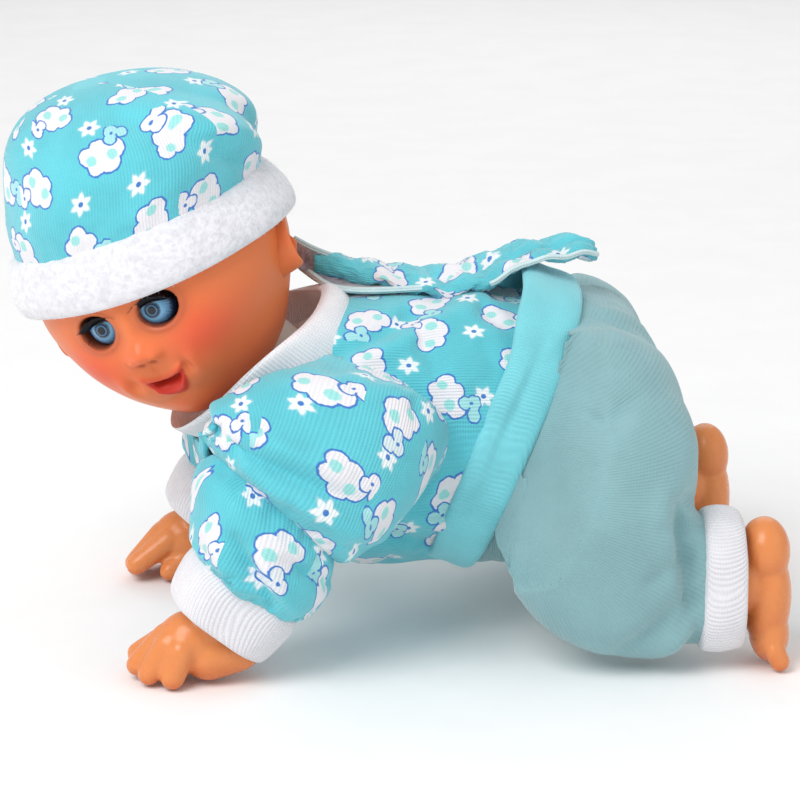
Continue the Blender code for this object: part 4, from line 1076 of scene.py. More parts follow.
def make_brim(mats):
    """The turned-up fleece brim: a padded roll, lumpy and fuzzy."""
    count = 200
    profile = spline(BRIM + BRIM[:1], 40)[:-1]
    rings = np.array([head_ring(h, o, count) for h, o in profile])
    random = np.random.default_rng(3)
    turn = TAU * np.arange(count) / count
    wave = sum(
        random.uniform(-0.22, 0.22) * np.sin(k * turn + random.uniform(0, TAU)) for k in range(2, 12)
    )
    outside = smooth(1.5, 4.0, profile[:, 1])[:, None]
    scale = 1 + wave[None, :] * outside / 38.0
    rings[..., :2] *= scale[..., None]
    lower = smooth(9.0, 3.0, profile[:, 0])[:, None]
    rings[..., 2] += 0.35 * np.sin(3 * turn + 0.8)[None, :] * lower + BRIM_TILT * rings[..., 1]
    closed = np.concatenate([rings, rings[:1]])
    world = head_to_world(closed.reshape(-1, 3)).reshape(closed.shape)
    brim = loft("cap_brim_fleece", world)
    weld(brim)
    dress(brim, mats["white_fleece"], "cap", "white_fleece", "cap_brim")
    fuzz("cap_brim_nap", brim, mats["white_fleece"], "cap", 9000, 0.9)


def weld(made):
    add_modifier(made, "WELD", merge_threshold=0.02 * MM)
    return apply_modifiers(made)


FIBRE_WIDTH = 0.06  # of the nap, at its root


def fuzz(name, made, material, body, count, length):
    """Short bent fibres standing on a fleece, so that its outline is soft."""
    random = np.random.default_rng(11)
    polygons = made.data.polygons
    centres = np.zeros(len(polygons) * 3)
    polygons.foreach_get("center", centres)
    centres = centres.reshape(-1, 3) / MM
    facing = np.zeros(len(polygons) * 3)
    polygons.foreach_get("normal", facing)
    facing = facing.reshape(-1, 3)
    area = np.zeros(len(polygons))
    polygons.foreach_get("area", area)
    picked = random.choice(len(polygons), count, p=area / area.sum())
    root = centres[picked] + random.normal(0, 0.35, (count, 3))
    grow = facing[picked] + random.normal(0, 0.55, (count, 3))
    grow /= np.linalg.norm(grow, axis=1, keepdims=True)
    height = np.sum((root - centres[picked]) * facing[picked], axis=1, keepdims=True)
    root = root - facing[picked] * (height + 0.1)
    side = np.cross(grow, random.normal(0, 1, (count, 3)))
    side /= np.linalg.norm(side, axis=1, keepdims=True)
    reach = length * random.uniform(0.5, 1.1, (count, 1))
    bend = side * reach * random.uniform(-0.5, 0.5, (count, 1))
    across = np.cross(grow, side) * FIBRE_WIDTH / 2
    middle = root + grow * reach * 0.55
    tip = root + grow * reach + bend
    corners = [root - across, root + across, middle + across * 0.7, middle - across * 0.7, tip]
    points = np.stack(corners, axis=1)
    faces = []
    for k in range(0, 5 * count, 5):
        faces.append((k, k + 1, k + 2, k + 3))
        faces.append((k + 3, k + 2, k + 4))
    nap = make_mesh(name, points.reshape(-1, 3), faces)
    return dress(nap, material, body, "white_fleece")


def cut_area(made):
    """The flat area of a garment's cloth in square metres: half of what its two faces measure."""
    area = np.zeros(len(made.data.polygons))
    made.data.polygons.foreach_get("area", area)
    return float(area.sum()) / 2


def cut_size(made):
    """Width and length of the rectangle that a garment's cloth is cut from, in metres."""
    uv = np.zeros(len(made.data.loops) * 2, np.float32)
    made.data.uv_layers["cloth"].uv.foreach_get("vector", uv)
    spread = np.ptp(uv.reshape(-1, 2), axis=0) * MM
    area = cut_area(made)
    scale = max(1.0, math.sqrt(area / float(spread[0] * spread[1])) * 1.001)
    return float(spread[0]) * scale, float(spread[1]) * scale


def declare_sheet(made):
    """Measures the size and the area that a garment's cloth was cut to; the results are not kept."""
    cut_size(made)
    cut_area(made)


# ---------------------------------------------------------------- jacket
def torso_at(x):
    """Centre height, half width and half height of the torso at x."""
    return np.array([np.interp(x, TORSO[:, 0], TORSO[:, k]) for k in (1, 2, 3)])


def torso_exponent(x):
    return 2.05 + 0.65 * float(np.clip((x + 36.0) / 30.0, 0.0, 1.0))


def torso_ring(x, grow, count):
    zc, hy, hz = torso_at(x)
    e = 2 / torso_exponent(x)
    turn = TAU * (np.arange(count) + 0.5) / count - math.pi / 2
    y = power(np.cos(turn), e) * (hy + grow)
    z = power(np.sin(turn), e) * (hz + grow)
    return np.stack([x + 0 * y, y, zc + z], axis=1)


def torso_side(x, z, grow):
    """How far the torso's side is from the centre plane at x and z."""
    zc, hy, hz = torso_at(x)
    e = torso_exponent(x)
    rest = max(1 - abs((z - zc) / (hz + grow)) ** e, 0.0)
    return (hy + grow) * rest ** (1 / e)


def waist_frame():
    up = (WAIST_TOP - WAIST_BOTTOM) / np.linalg.norm(WAIST_TOP - WAIST_BOTTOM)
    return (WAIST_TOP + WAIST_BOTTOM) / 2, up, np.array([up[2], 0.0, -up[0]])


def make_jacket(mats):
    """The jacket's body: puffed over the torso, with its hem tucked under the waistband."""
    rows, count = 50, 132
    middle, _, rear = waist_frame()
    slope = -rear[2] / rear[0]
    rings = []
    for x in np.linspace(-50.0, 24.0, rows):
        lean = slope * smooth(-26.0, 20.0, x)  # rings lean over to meet the waistband's slope
        ring = torso_ring(x, JACKET_EASE, count)
        ring[:, 0] += lean * (ring[:, 2] - middle[2])
        size = np.array([torso_at(px) for px in ring[:, 0]])
        level, half_width, half_height = torso_at(x)
        ring[:, 1] *= (size[:, 1] + JACKET_EASE) / (half_width + JACKET_EASE)
        ring[:, 2] = (ring[:, 2] - level) * (size[:, 2] + JACKET_EASE) / (half_height + JACKET_EASE)
        ring[:, 2] += size[:, 0]
        below = np.maximum(PARTING_Z - ring[:, 2], 0.0) / (PARTING_Z - 28.0)
        ring[:, 2] -= BELLY_SAG * below**2 * smooth(-46.0, -26.0, x)
        rings.append(ring)
    chest = rings[0]
    for share, x in CHEST:
        ring = chest.mean(axis=0) + (chest - chest.mean(axis=0)) * share
        ring[:, 0] = x
        rings.insert(0, ring)
    jacket = loft("jacket_body_cloth", np.array(rings), ends=(True, False), panels=2)
    row = np.arange(rows) + 0.0
    held = np.repeat(np.maximum(smooth(5, 1, row), smooth(43, 48, row)), count)
    held = np.concatenate([np.ones(len(CHEST) * count), held, [1.0]])
    settle(jacket, held, growth=0.05, pressure=1.2, most=1.8)
    jacket = delete_where(jacket, near_head)
    refine(jacket)
    points = ridges(vertices(jacket), normals(jacket), JACKET_FOLDS)
    room = TORSO_CLOTH_Y + 0.9 + 2.4 * smooth(2.0, 13.0, points[:, 0])
    points[:, 1] = np.clip(points[:, 1], -room, room)
    move_vertices(jacket, points)
    thicken(jacket, CLOTH)
    dress(jacket, mats["print_jersey"], "torso", "print_jersey", "jacket_body")
    declare_sheet(jacket)


# share of the foremost ring, and x, where the jacket closes over the chest
CHEST = [(0.88, -54.4), (0.68, -57.3), (0.42, -59.0), (0.15, -59.6)]
# start (x, z), end (x, z), height and half width of folds seen from the side
JACKET_FOLDS = [
    ((-40.0, 74.0), (30.0, 101.0), 2.0, 2.4),
    ((-40.0, 79.0), (26.0, 104.0), -1.6, 2.0),
    ((-4.0, 44.0), (18.0, 33.0), 1.8, 2.6),
    ((-12.0, 36.0), (12.0, 29.0), -1.6, 2.2),
    ((-2.0, 60.0), (8.0, 40.0), 1.2, 3.4),
    ((6.0, 88.0), (14.0, 60.0), -0.9, 3.0),
]


def near_head(points):
    """True inside the neck opening, whose edge the collar hides."""
    return np.linalg.norm(points - HEAD_CENTRE, axis=1) < NECK_OPENING


def clear_of_collar(points):
    """Moves cloth out of the room that the collar and the turning head need."""
    away = points - HEAD_CENTRE
    reach = np.linalg.norm(away, axis=1, keepdims=True)
    return HEAD_CENTRE + away * np.maximum(1.0, (NECK_OPENING + 3.5) / reach)


# radius about the neck's axis and distance below the head's centre, at the nape and round the front
COLLAR_BACK = [
    (26.4, 49.0), (27.3, 45.0), (27.4, 41.0), (26.2, 38.2), (24.2, 37.4), (22.8, 38.4), (22.0, 47.0),
]
COLLAR_FRONT = [
    (26.4, 49.0), (27.9, 44.6), (30.2, 38.6), (32.6, 32.8), (33.0, 30.8), (31.9, 31.6), (22.0, 47.0),
]


def make_collar(mats):
    """A soft ribbed neckband that follows the head round, fuller at its rolled upper edge."""
    count = 180
    back, front = spline(COLLAR_BACK, 40), spline(COLLAR_FRONT, 40)
    turn = TAU * np.arange(count) / count
    across = np.array([0.0, 1.0, 0.0])
    high = np.cross(NECK, across)
    spoke = np.outer(np.cos(turn), across) + np.outer(np.sin(turn), high)
    flare = smooth(-1.0, 0.22, np.sin(turn))[:, None]
    wave = 0.25 * np.sin(3 * turn + 0.6) + 0.18 * np.sin(7 * turn)
    rings = []
    for (r0, b0), (r1, b1) in zip(back, front):
        radius, below = r0 + (r1 - r0) * flare, b0 + (b1 - b0) * flare
        radius = radius + wave[:, None] * smooth(49.0, 42.0, below)
        rings.append(HEAD_CENTRE - NECK * below + spoke * radius)
    collar = loft("jacket_collar_rib", np.array(rings))
    dress(collar, mats["collar_rib"], "torso", "white_rib", "jacket_collar")


def superellipse(count, half_a, half_b, exponent, start=0.0):
    turn = TAU * np.arange(count) / count + start
    return power(np.cos(turn), 2 / exponent) * half_a, power(np.sin(turn), 2 / exponent) * half_b


def waist_oval(count, half_y, half_up):
    """The waist's outline, squarer under the belly where the cloth hangs."""
    back = superellipse(count, half_y, half_up, 2.7, -math.pi / 2)
    belly = superellipse(count, half_y, half_up, 3.6, -math.pi / 2)
    return [np.where(back[1] < 0, low, high) for low, high in zip(belly, back)]


def make_waistband(mats):
    """The trousers' wide waistband, folded out over the jacket's hem, with soft rolled edges."""
    count = 160
    middle, up, rear = waist_frame()
    half_up = np.linalg.norm(WAIST_TOP - WAIST_BOTTOM) / 2
    half = WAISTBAND_WIDTH / 2
    # along the torso and inwards from the outer face
    section = [(-half + 0.4, 2.6), (-half, 1.2), (-half + 0.9, 0.1), (-half + 3.5, -0.3)]
    section += [(0.0, 0.0), (half - 3.0, -0.2)]
    section += [(half - 0.6, 0.3), (half, 1.5), (half - 0.5, 2.6), (0.0, 2.7)]
    section = spline(section + section[:1], 46)
    turn = TAU * np.arange(count) / count - math.pi / 2
    ripple = 0.45 * np.sin(5 * turn + 0.4) + 0.3 * np.sin(9 * turn + 1.9)
    rings = []
    for offset, inwards in section:
        y, h = waist_oval(count, WAIST_HALF_WIDTH - inwards, half_up - inwards)
        narrow = 1.0 + 0.12 * np.sin(turn)  # wider over the back than under the belly
        shift = offset * narrow + ripple * smooth(-4.0, -half, offset)
        rings.append(middle + np.outer(shift, rear) + np.outer(h, up) + np.outer(y, (0.0, 1.0, 0.0)))
    band = loft("waistband_jersey", np.array(rings))
    weld(band)
    points = ridges(vertices(band), normals(band), WAISTBAND_FOLDS)
    points[:, 1] = np.clip(points[:, 1], -31.7, 31.7)
    move_vertices(band, points)
    dress(band, mats["plain_jersey"], "torso", "mint_knit", "waistband")


WAISTBAND_FOLDS = [
    ((33.0, 84.0), (12.0, 40.0), 0.5, 1.6),
    ((24.0, 76.0), (6.0, 36.0), -0.5, 1.3),
    ((38.0, 90.0), (22.0, 56.0), -0.45, 1.3),
]


# The empty hood lies back, flopped to the far side. Its open mouth: x, y and z of the near rim, the floor's
# middle and the far rim
HOOD_MOUTH = [
    ((-25.0, 15.0, 99.5), (-28.5, 20.0, 101.0), (-29.0, 21.0, 109.5)),
    ((-19.5, 3.0, 98.2), (-22.0, 14.0, 97.4), (-22.5, 19.0, 106.0)),
    ((-12.0, -2.0, 98.0), (-13.0, 11.0, 96.6), (-13.5, 17.0, 103.0)),
    ((-2.0, -3.0, 98.2), (-2.0, 9.0, 97.2), (-2.0, 15.0, 100.6)),
    ((8.0, -2.0, 98.4), (8.0, 6.0, 98.2), (8.0, 12.0, 99.2)),
]
# The rolled outside behind the mouth and the pinched end: x, y, z, half width, half thickness
HOOD_ROLL = [
    (-23.0, 19.5, 103.0, 4.0, 3.4),
    (-17.0, 18.5, 102.0, 6.6, 4.4),
    (-8.0, 16.0, 100.2, 9.5, 4.0),
    (2.0, 12.5, 99.0, 13.0, 3.6),
    (12.0, 9.0, 98.8, 15.0, 3.6),
    (20.0, 7.0, 100.6, 15.5, 3.8),
    (26.0, 5.5, 103.0, 15.0, 3.6),
    (31.0, 4.5, 105.6, 14.0, 2.6),
    (36.0, 3.5, 108.2, 12.6, 1.9),
    (42.0, 2.0, 108.8, 10.8, 2.3),
    (48.0, 1.0, 109.6, 9.0, 3.0),
    (53.0, 0.5, 109.4, 7.2, 3.2),
    (55.4, 0.5, 109.0, 5.0, 2.4),
]


def hood_sections(inset):
    """Sections of the open mouth, from the near rim across the floor and up the far wall."""
    rings = []
    for near, floor, far in spline(np.array(HOOD_MOUTH), 36):
        near_floor = near * 0.45 + floor * 0.55 - np.array([0.0, 0.0, 0.5])
        wall = floor * 0.5 + far * 0.5 + np.array([0.0, 1.6, -0.9])
        path = spline([near, near_floor, floor, wall, far], 44)
        run = np.gradient(path, axis=0)[:, 1:]
        run /= np.linalg.norm(run, axis=1, keepdims=True)
        path[:, 1] -= run[:, 1] * inset
        path[:, 2] += run[:, 0] * inset
        rings.append(path)
    return np.array(rings)


def make_hood(mats):
    """The empty hood: its fleece-lined mouth, and the printed roll of its folded outside."""
    lining = loft("jacket_hood_lining", hood_sections(0.9), around=False)
    refine(lining)
    thicken(lining, 0.8, inwards=False)
    # The lining's grey material is painted shade over white fleece
    dress(lining, mats["hood_lining"], "torso", "white_fleece")
    declare_sheet(lining)
    rims = hood_sections(1.0)
    for word, column in (("near", 0), ("far", -1)):
        edge = tube_along(f"hood_binding_{word}", rims[:, column], 0.95)
        dress(edge, mats["pale_binding"], "torso", "mint_knit")
    make_hood_roll(mats)


def make_hood_roll(mats):
    """The printed outside, rolled and pinched flat over the waistband, with a piped edge on its near side."""
    count = 96
    rings = []
    for x, y, z, wide, thick in spline(HOOD_ROLL, 72):
        across, high = superellipse(count, wide, thick, 2.1)
        dip = 1.3 * np.exp(-(((across + wide * 0.35) / (0.22 * wide)) ** 2))
        dip = dip * (high > 0) * smooth(0.0, 20.0, x)
        droop = (np.abs(across + y) / 30.0) ** 3 * 6.0
        ripple = 0.5 * np.sin(x * 0.55 + across * 0.2) * smooth(-20.0, 0.0, x)
        rings.append(np.stack([x + 0 * across, y + across, z + high - droop - dip + ripple], axis=1))
    rings = np.array(rings)
    roll = loft("jacket_hood_roll", rings, ends=(True, True))
    held = np.full(len(roll.data.vertices), 0.25)
    settle(roll, held, growth=0.06, pressure=1.0, most=1.4)
    dress(roll, mats["print_jersey"], "torso", "print_jersey", "jacket_hood")
    edge = rings[34:, count // 2] + np.array([0.0, -0.1, 0.2])
    piping = tube_along("hood_piping", edge, 0.8)
    dress(piping, mats["pale_binding"], "torso", "mint_knit")


def tube_along(name, path, radius):
    """A piping or seam: a round section swept along a path of points."""
    path = np.asarray(path, float)
    run = np.gradient(path, axis=0)
    run /= np.linalg.norm(run, axis=1, keepdims=True)
    side = np.cross(run, (0.0, 0.0, 1.0))
    side /= np.maximum(np.linalg.norm(side, axis=1, keepdims=True), 1e-6)
    over = np.cross(side, run)
    turn = TAU * np.arange(10) / 10
    rings = [
        p + radius * (np.outer(np.cos(turn), s) + np.outer(np.sin(turn), o))
        for p, s, o in zip(path, side, over)
    ]
    return loft(name, rings, ends=(True, True))


# ---------------------------------------------------------------- sleeves
# x, distance from the centre plane, z, half sizes of the ring, turn from facing outwards to facing down, tilt
SLEEVE = [
    (-24.6, 39.6, 65.0, 31.4, 20.6, 24.0, -6.0),
    (-31.0, 45.4, 58.6, 28.6, 17.4, 48.0, -22.0),
    (-37.6, 46.8, 52.5, 26.0, 15.8, 74.0, -42.0),
    (-38.4, 46.4, 49.8, 21.6, 11.6, 78.0, -44.0),
    (-37.2, 46.4, 53.6, 20.0, 11.0, 78.0, -44.0),
    (-40.4, 46.2, 46.0, 22.6, 15.4, 84.0, -39.0),
    (-42.2, 45.8, 38.0, 20.6, 15.8, 90.0, -34.0),
    (-44.2, 45.3, 32.0, 18.8, 15.0, 90.0, -34.0),
    (-45.4, 44.8, 28.6, 17.6, 14.4, 90.0, -35.0),
    (-46.6, 44.5, 26.6, 15.6, 13.2, 90.0, -36.0),
]
# centre x, z, half sizes and tilt of the sleeve's seam on the jacket's side
ARMHOLE = (-22.4, 64.0, 32.4, 22.0, -10.0)
SLEEVE_FOLDS = [
    ((-58.0, 80.0), (-20.0, 64.0), 2.2, 2.6),
    ((-57.0, 75.0), (-14.0, 54.0), -2.8, 2.2),
    ((-46.0, 66.0), (-10.0, 42.0), 2.4, 3.0),
    ((-56.0, 46.0), (-48.0, 30.0), 2.4, 2.4),
    ((-50.0, 46.0), (-40.0, 28.0), -2.8, 2.0),
    ((-36.0, 40.0), (-24.0, 30.0), -2.8, 2.2),
    ((-44.0, 42.0), (-33.0, 24.0), 2.2, 2.4),
]


def sleeve_ring(station, side, count):
    x, y, z, wide, deep, turn_out, tilt = station
    lean, around = math.radians(tilt), math.radians(turn_out)
    first = np.array([math.cos(lean), 0.0, math.sin(lean)])
    up = np.array([-math.sin(lean), 0.0, math.cos(lean)])
    second = math.cos(around) * up + math.sin(around) * np.array([0.0, side, 0.0])
    a, b = superellipse(count, wide, deep, 2.3)
    return np.array([x, side * y, z]) + np.outer(a, first) + np.outer(b, second)


def armhole_ring(side, count):
    """The seam where the sleeve leaves the jacket: an oval drawn on the torso's side."""
    x, z, wide, tall, tilt = ARMHOLE
    lean = math.radians(tilt)
    a, b = superellipse(count, wide, tall, 2.2)
    px = x + a * math.cos(lean) - b * math.sin(lean)
    pz = z + a * math.sin(lean) + b * math.cos(lean)
    py = np.array([max(torso_side(qx, qz, 4.2), 6.0) for qx, qz in zip(px, pz)])
    return np.stack([px, side * py, pz], axis=1)


def make_sleeve(word, side, mats):
    """A full sleeve gathered into its cuff. It hangs from its seam on the jacket and follows the arm."""
    rows, count = 84, 96
    controls = [armhole_ring(side, count)] + [sleeve_ring(station, side, count) for station in SLEEVE]
    rings = spline(np.array(controls), rows)
    if side > 0:
        rings = rings[:, ::-1]
    sleeve = loft(f"sleeve_{word}_cloth", rings, panels=3)
    row = np.arange(rows)
    overlap = np.exp(-(((row - 0.42 * rows) / 9.0) ** 2))
    held = np.repeat(np.maximum(np.maximum(smooth(5, 0, row), smooth(76, 83, row)), 0.9 * overlap), count)
    settle(sleeve, held, growth=0.09, pressure=2.0, most=3.0, bending=0.35)
    refine(sleeve)
    points = vertices(sleeve)
    weight = smooth(34.0, 44.0, points[:, 1] * side)[:, None]
    points = ridges(points, normals(sleeve) * weight, SLEEVE_FOLDS)
    limb = smooth(26.0, 34.0, np.abs(points[:, 1])) > 0.99
    points[limb] = keep_side(points[limb], side, 31.0)
    move_vertices(sleeve, clear_of_collar(points))
    thicken(sleeve, CLOTH)
    dress(sleeve, mats["print_jersey"], None, "print_jersey", f"sleeve_{word}")
    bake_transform(sleeve)
    declare_sheet(sleeve)


# ---------------------------------------------------------------- cuffs
# x, z, half size in the ring's plane, half size along Y, tilt, distance from the centre plane
SLEEVE_CUFF = [
    (-45.2, 28.6, 14.6, 12.6, -36.0, 44.5),
    (-45.9, 27.6, 17.0, 14.2, -36.0, 44.5),
    (-48.0, 24.6, 17.9, 14.8, -36.5, 44.3),
    (-51.0, 20.4, 17.5, 14.4, -37.0, 44.0),
    (-53.6, 16.7, 16.6, 13.6, -38.0, 44.0),
    (-54.5, 15.4, 15.4, 12.6, -38.0, 44.0),
    (-53.6, 16.6, 13.4, 11.2, -38.0, 44.0),
    (-51.0, 20.4, 12.8, 10.8, -37.0, 44.0),
]
ANKLE_CUFF = [
    (78.6, 25.2, 16.4, 11.6, 89.0, 45.4),
    (79.6, 25.2, 19.4, 13.2, 89.0, 45.4),
    (82.4, 25.3, 20.3, 13.6, 89.5, 45.4),
    (86.0, 25.4, 20.3, 13.5, 90.0, 45.4),
    (89.6, 25.4, 19.4, 12.9, 91.0, 45.4),
    (90.9, 25.4, 18.0, 11.9, 91.0, 45.4),
    (89.8, 25.4, 16.4, 11.0, 91.0, 45.4),
    (86.0, 25.4, 15.6, 10.6, 90.0, 45.4),
]


def limb_ring(station, side, count, roundness=2.5):
    x, z, wide, deep, tilt, y = station
    lean = math.radians(tilt)
    along = np.array([math.cos(lean), 0.0, math.sin(lean)])
    a, b = superellipse(count, wide, deep, roundness)
    return np.array([x, side * y, z]) + np.outer(a, along) + np.outer(b, (0.0, 1.0, 0.0))


def make_cuff(node, stations, side, body, phase, mats):
    """A ribbed band, turned in at its free end."""
    count = 150
    rings = np.array([limb_ring(station, side, count) for station in spline(stations, 40)])
    turn = TAU * np.arange(count) / count
    centre = rings.mean(axis=1, keepdims=True)
    wave = 1 + 0.012 * np.sin(5 * turn + phase) + 0.009 * np.sin(9 * turn)
    rings = centre + (rings - centre) * wave[None, :, None]
    rings[..., 1] = side * np.maximum(rings[..., 1] * side, CLOTH_INNER_Y - 1.0)
    cuff = loft(f"{node}_rib", rings)
    dress(cuff, mats["white_rib"], body, "white_rib", node)


# ---------------------------------------------------------------- trousers
# x, z, half size in the ring's plane, half size along Y, tilt, distance from the centre plane
TROUSER_LEG = [
    (60.0, 80.0, 7.0, 7.0, 3.0, 40.0),
    (58.0, 77.0, 13.0, 10.5, 3.0, 41.5),
    (57.0, 69.0, 18.5, 13.6, 3.0, 44.5),
    (54.0, 58.0, 23.0, 15.2, 4.0, 46.0),
    (50.8, 42.0, 27.6, 15.6, 12.0, 46.6),
    (54.6, 30.5, 25.2, 15.2, 27.0, 46.4),
    (63.0, 25.0, 22.0, 14.4, 57.0, 46.0),
    (71.0, 24.5, 19.8, 13.8, 78.0, 45.6),
    (79.5, 25.2, 18.4, 12.8, 88.0, 45.4),
    (84.0, 25.3, 17.4, 12.2, 89.0, 45.4),
]
THIGH = (52.0, 31.0, 67.0), (23.0, 22.5, 27.0)  # middle and half sizes of the fullness between seat and leg
WAIST_TUCK = WAISTBAND_WIDTH / 2 - 3.0  # the trousers start this far behind the middle of the waistband
FAN_CENTRE = np.array([20.0, 56.0])  # the knit's courses fan out round the front of the hip
TROUSER_FOLDS = [
    ((71.0, 52.0), (75.0, 24.0), -3.6, 2.6),
    ((66.0, 54.0), (69.0, 30.0), 1.8, 3.2),
    ((56.0, 8.0), (73.0, 24.0), -2.2, 3.2),
    ((66.0, 6.0), (77.0, 17.0), 1.5, 2.8),
    ((76.0, 40.0), (76.0, 8.0), -1.4, 2.4),
    ((24.0, 60.0), (30.0, 34.0), 0.9, 4.4),
    ((36.0, 92.0), (46.0, 74.0), 0.7, 5.0),
]


def seat_block(count):
    """The seat of the trousers, a closed form from the slanted waist to the rear."""
    middle, up, rear = waist_frame()
    half_up = np.linalg.norm(WAIST_TOP - WAIST_BOTTOM) / 2
    rings = []
    for offset in (WAIST_TUCK - 7.0, WAIST_TUCK - 1.0, WAIST_TUCK + 4.0):
        y, h = waist_oval(count, SEAT_HALF_WIDTH, half_up - 1.9)
        rings.append(middle + rear * offset + np.outer(h, up) + np.outer(y, (0.0, 1.0, 0.0)))
    for x, grow in ((52.0, 4.8), (62.0, 5.4), (68.0, 5.0), (73.0, 4.6)):
        rings.append(torso_ring(x, grow, count))
    tip = rings[-1]
    for shrink, x in ((0.86, 75.6), (0.5, 77.4)):
        ring = tip.mean(axis=0) + (tip - tip.mean(axis=0)) * shrink
        ring[:, 0] = x
        rings.append(ring)
    return loft("seat", spline(np.array(rings), 26), ends=(True, True))


def leg_block(side, count):
    stations = spline(TROUSER_LEG, 40)
    return loft("leg", np.array([limb_ring(s, side, count, 2.4) for s in stations]), ends=(True, True))


def delete_where(made, beyond):
    """Removes the faces whose middle lies beyond a cut, and keeps the rest with their cloth coordinates."""
    centres = np.zeros(len(made.data.polygons) * 3)
    made.data.polygons.foreach_get("center", centres)
    gone = beyond(centres.reshape(-1, 3) / MM)
    shell = bmesh.new()
    shell.from_mesh(made.data)
    shell.faces.ensure_lookup_table()
    bmesh.ops.delete(shell, geom=[shell.faces[k] for k in np.flatnonzero(gone)], context="FACES")
    shell.to_mesh(made.data)
    shell.free()
    return made


def fan_uv(made):
    """Cloth coordinates of the knit: its courses fan round the hip, from the waistband to the ankle."""
    points = vertices(made)
    away = points[:, [0, 2]] - FAN_CENTRE
    reach = np.linalg.norm(away, axis=1)
    across = np.arctan2(away[:, 1], away[:, 0]) * 46.0
    layer = made.data.uv_layers.new(name="cloth")
    loops = np.zeros(len(made.data.loops), np.int32)
    made.data.loops.foreach_get("vertex_index", loops)
    uv = np.stack([across[loops], (reach + np.abs(points[:, 1]))[loops]], axis=1)
    layer.uv.foreach_set("vector", uv.astype(np.float32).ravel())


def tuck_under_waistband(points, side):
    """Keeps the sides of the trousers narrow where they come out of the waistband, above the thigh."""
    middle, _, rear = waist_frame()
    behind = (points - middle) @ rear
    room = 29.2 + 2.5 * np.maximum(behind - 7.4, 0.0) ** 0.97 + 60.0 * smooth(32.0, 18.0, points[:, 2])
    reach = points[:, 1] * side
    tucked = points.copy()
    tucked[:, 1] = side * np.where(reach > room, room + 0.05 * (reach - room), reach)
    return tucked


def make_trousers(word, side, mats):
    """Half of the trousers, from the seam between the legs down to the ankle."""
    middle, radii = THIGH
    thigh = ball((middle[0], side * middle[1], middle[2]), radii, 48, 30)
    half = fuse(f"trousers_{word}_knit", [seat_block(72), leg_block(side, 72), thigh], 1.9, relax=26)
    middle, _, rear = waist_frame()
    start = WAIST_TUCK + 0.9

    def beyond(points):
        return (points[:, 1] * side < -0.6) | ((points - middle) @ rear < start) | (points[:, 0] > 81.5)

    half = delete_where(half, beyond)
    half.name = f"trousers_{word}_knit"
    points = vertices(half)
    near_middle = points[:, 1] * side < 0.7
    points[near_middle, 1] = 0.0
    move_vertices(half, tuck_under_waistband(points, side))
    behind = (points - middle) @ rear
    free = np.minimum(smooth(1.5, 16.0, points[:, 1] * side), smooth(1.0, 10.0, behind - start))
    free = np.minimum(free, smooth(81.5, 76.0, points[:, 0]))
    settle(half, 1.0 - 0.98 * free, growth=0.05, pressure=1.5, most=2.4, bending=0.8)
    refine(half)
    points = tuck_under_waistband(vertices(half), side)
    push = normals(half) * smooth(28.0, 40.0, points[:, 1] * side)[:, None]
    points = ridges(points, push, TROUSER_FOLDS)
    move_vertices(half, points)
    fan_uv(half)
    thicken(half, CLOTH)
    nodes = [f"trouser_leg_{word}"] + (["trouser_seat"] if side < 0 else [])
    dress(half, mats["mint_knit"], None, "mint_knit", *nodes)
    start, end = (0.022, side * 0.024, 0.050), (0.030, side * 0.044, 0.045)
    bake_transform(half)
    declare_sheet(half)


# ---------------------------------------------------------------- hands and feet
def paint_limb(made, centre, reach):
    """Colours the moulded plastic: a deeper, redder tone far from the light end, and painted shade on its
    downward faces and in its hollows there.
    """
    points, facing = vertices(made), normals(made)
    away = np.linalg.norm(points - centre, axis=1)
    # A deeper tone near the hand or foot, and painted shade on the faces that look down
    tone_and_shade = (0.25 + 0.45 * smooth(0.2, -0.8, facing[:, 2])) * smooth(reach * 2.5, reach, away)
    light = np.array([0.78, 0.30, 0.10])
    deep = np.array([0.60, 0.12, 0.025])
    set_paint(made, light + (deep - light) * tone_and_shade[:, None])


def make_arm(word, side, mats):
    """Arm and half-closed hand with four fingers and a thumb."""
    y = side * LIMB_Y
    # knuckle (x, distance from the centre plane, z), finger end, radii
    fingers = [
        ((-66.0, 40.5, 12.5), (-76.2, 37.8, 5.6), 3.9, 3.2),
        ((-68.5, 44.2, 12.5), (-76.4, 43.4, 4.4), 4.0, 3.3),
        ((-68.0, 48.2, 11.8), (-73.4, 49.2, 3.8), 4.0, 3.3),
        ((-64.5, 51.0, 10.6), (-67.0, 52.6, 3.8), 4.2, 3.5),
    ]
    parts = [
        rod((SHOULDER[0], y, SHOULDER[1]), (-37.0, y, 37.0), 10.6, 9.2),
        rod((-37.0, y, 37.0), (-55.0, side * 44.5, 17.5), 9.2, 8.2),
        ball((-61.5, side * 45.0, 11.2), (9.8, 8.6, 9.0)),
        rod((-58.0, side * 40.5, 8.4), (-66.5, side * 36.8, 3.6), 3.6, 2.9),
        rod((-57.0, side * 47.0, 8.0), (-49.0, side * 46.5, 9.5), 7.2, 6.6),
    ]
    for (x0, y0, z0), (x1, y1, z1), r0, r1 in fingers:
        parts.append(rod((x0, side * y0, z0), (x1, side * y1, z1), r0, r1))
    arm = fuse(f"arm_{word}_skin", parts, 0.75, relax=5)
    points = vertices(arm)
    points[:, 2] = np.maximum(points[:, 2], 0.15)
    move_vertices(arm, points)
    paint_limb(arm, np.array([-66.0, y, 12.0]), 14.0)
    shells = f"arm_{word}_inner_shell", f"arm_{word}_outer_shell"
    dress(arm, mats["limb_plastic"], f"arm_{word}", "limb_plastic", *shells)


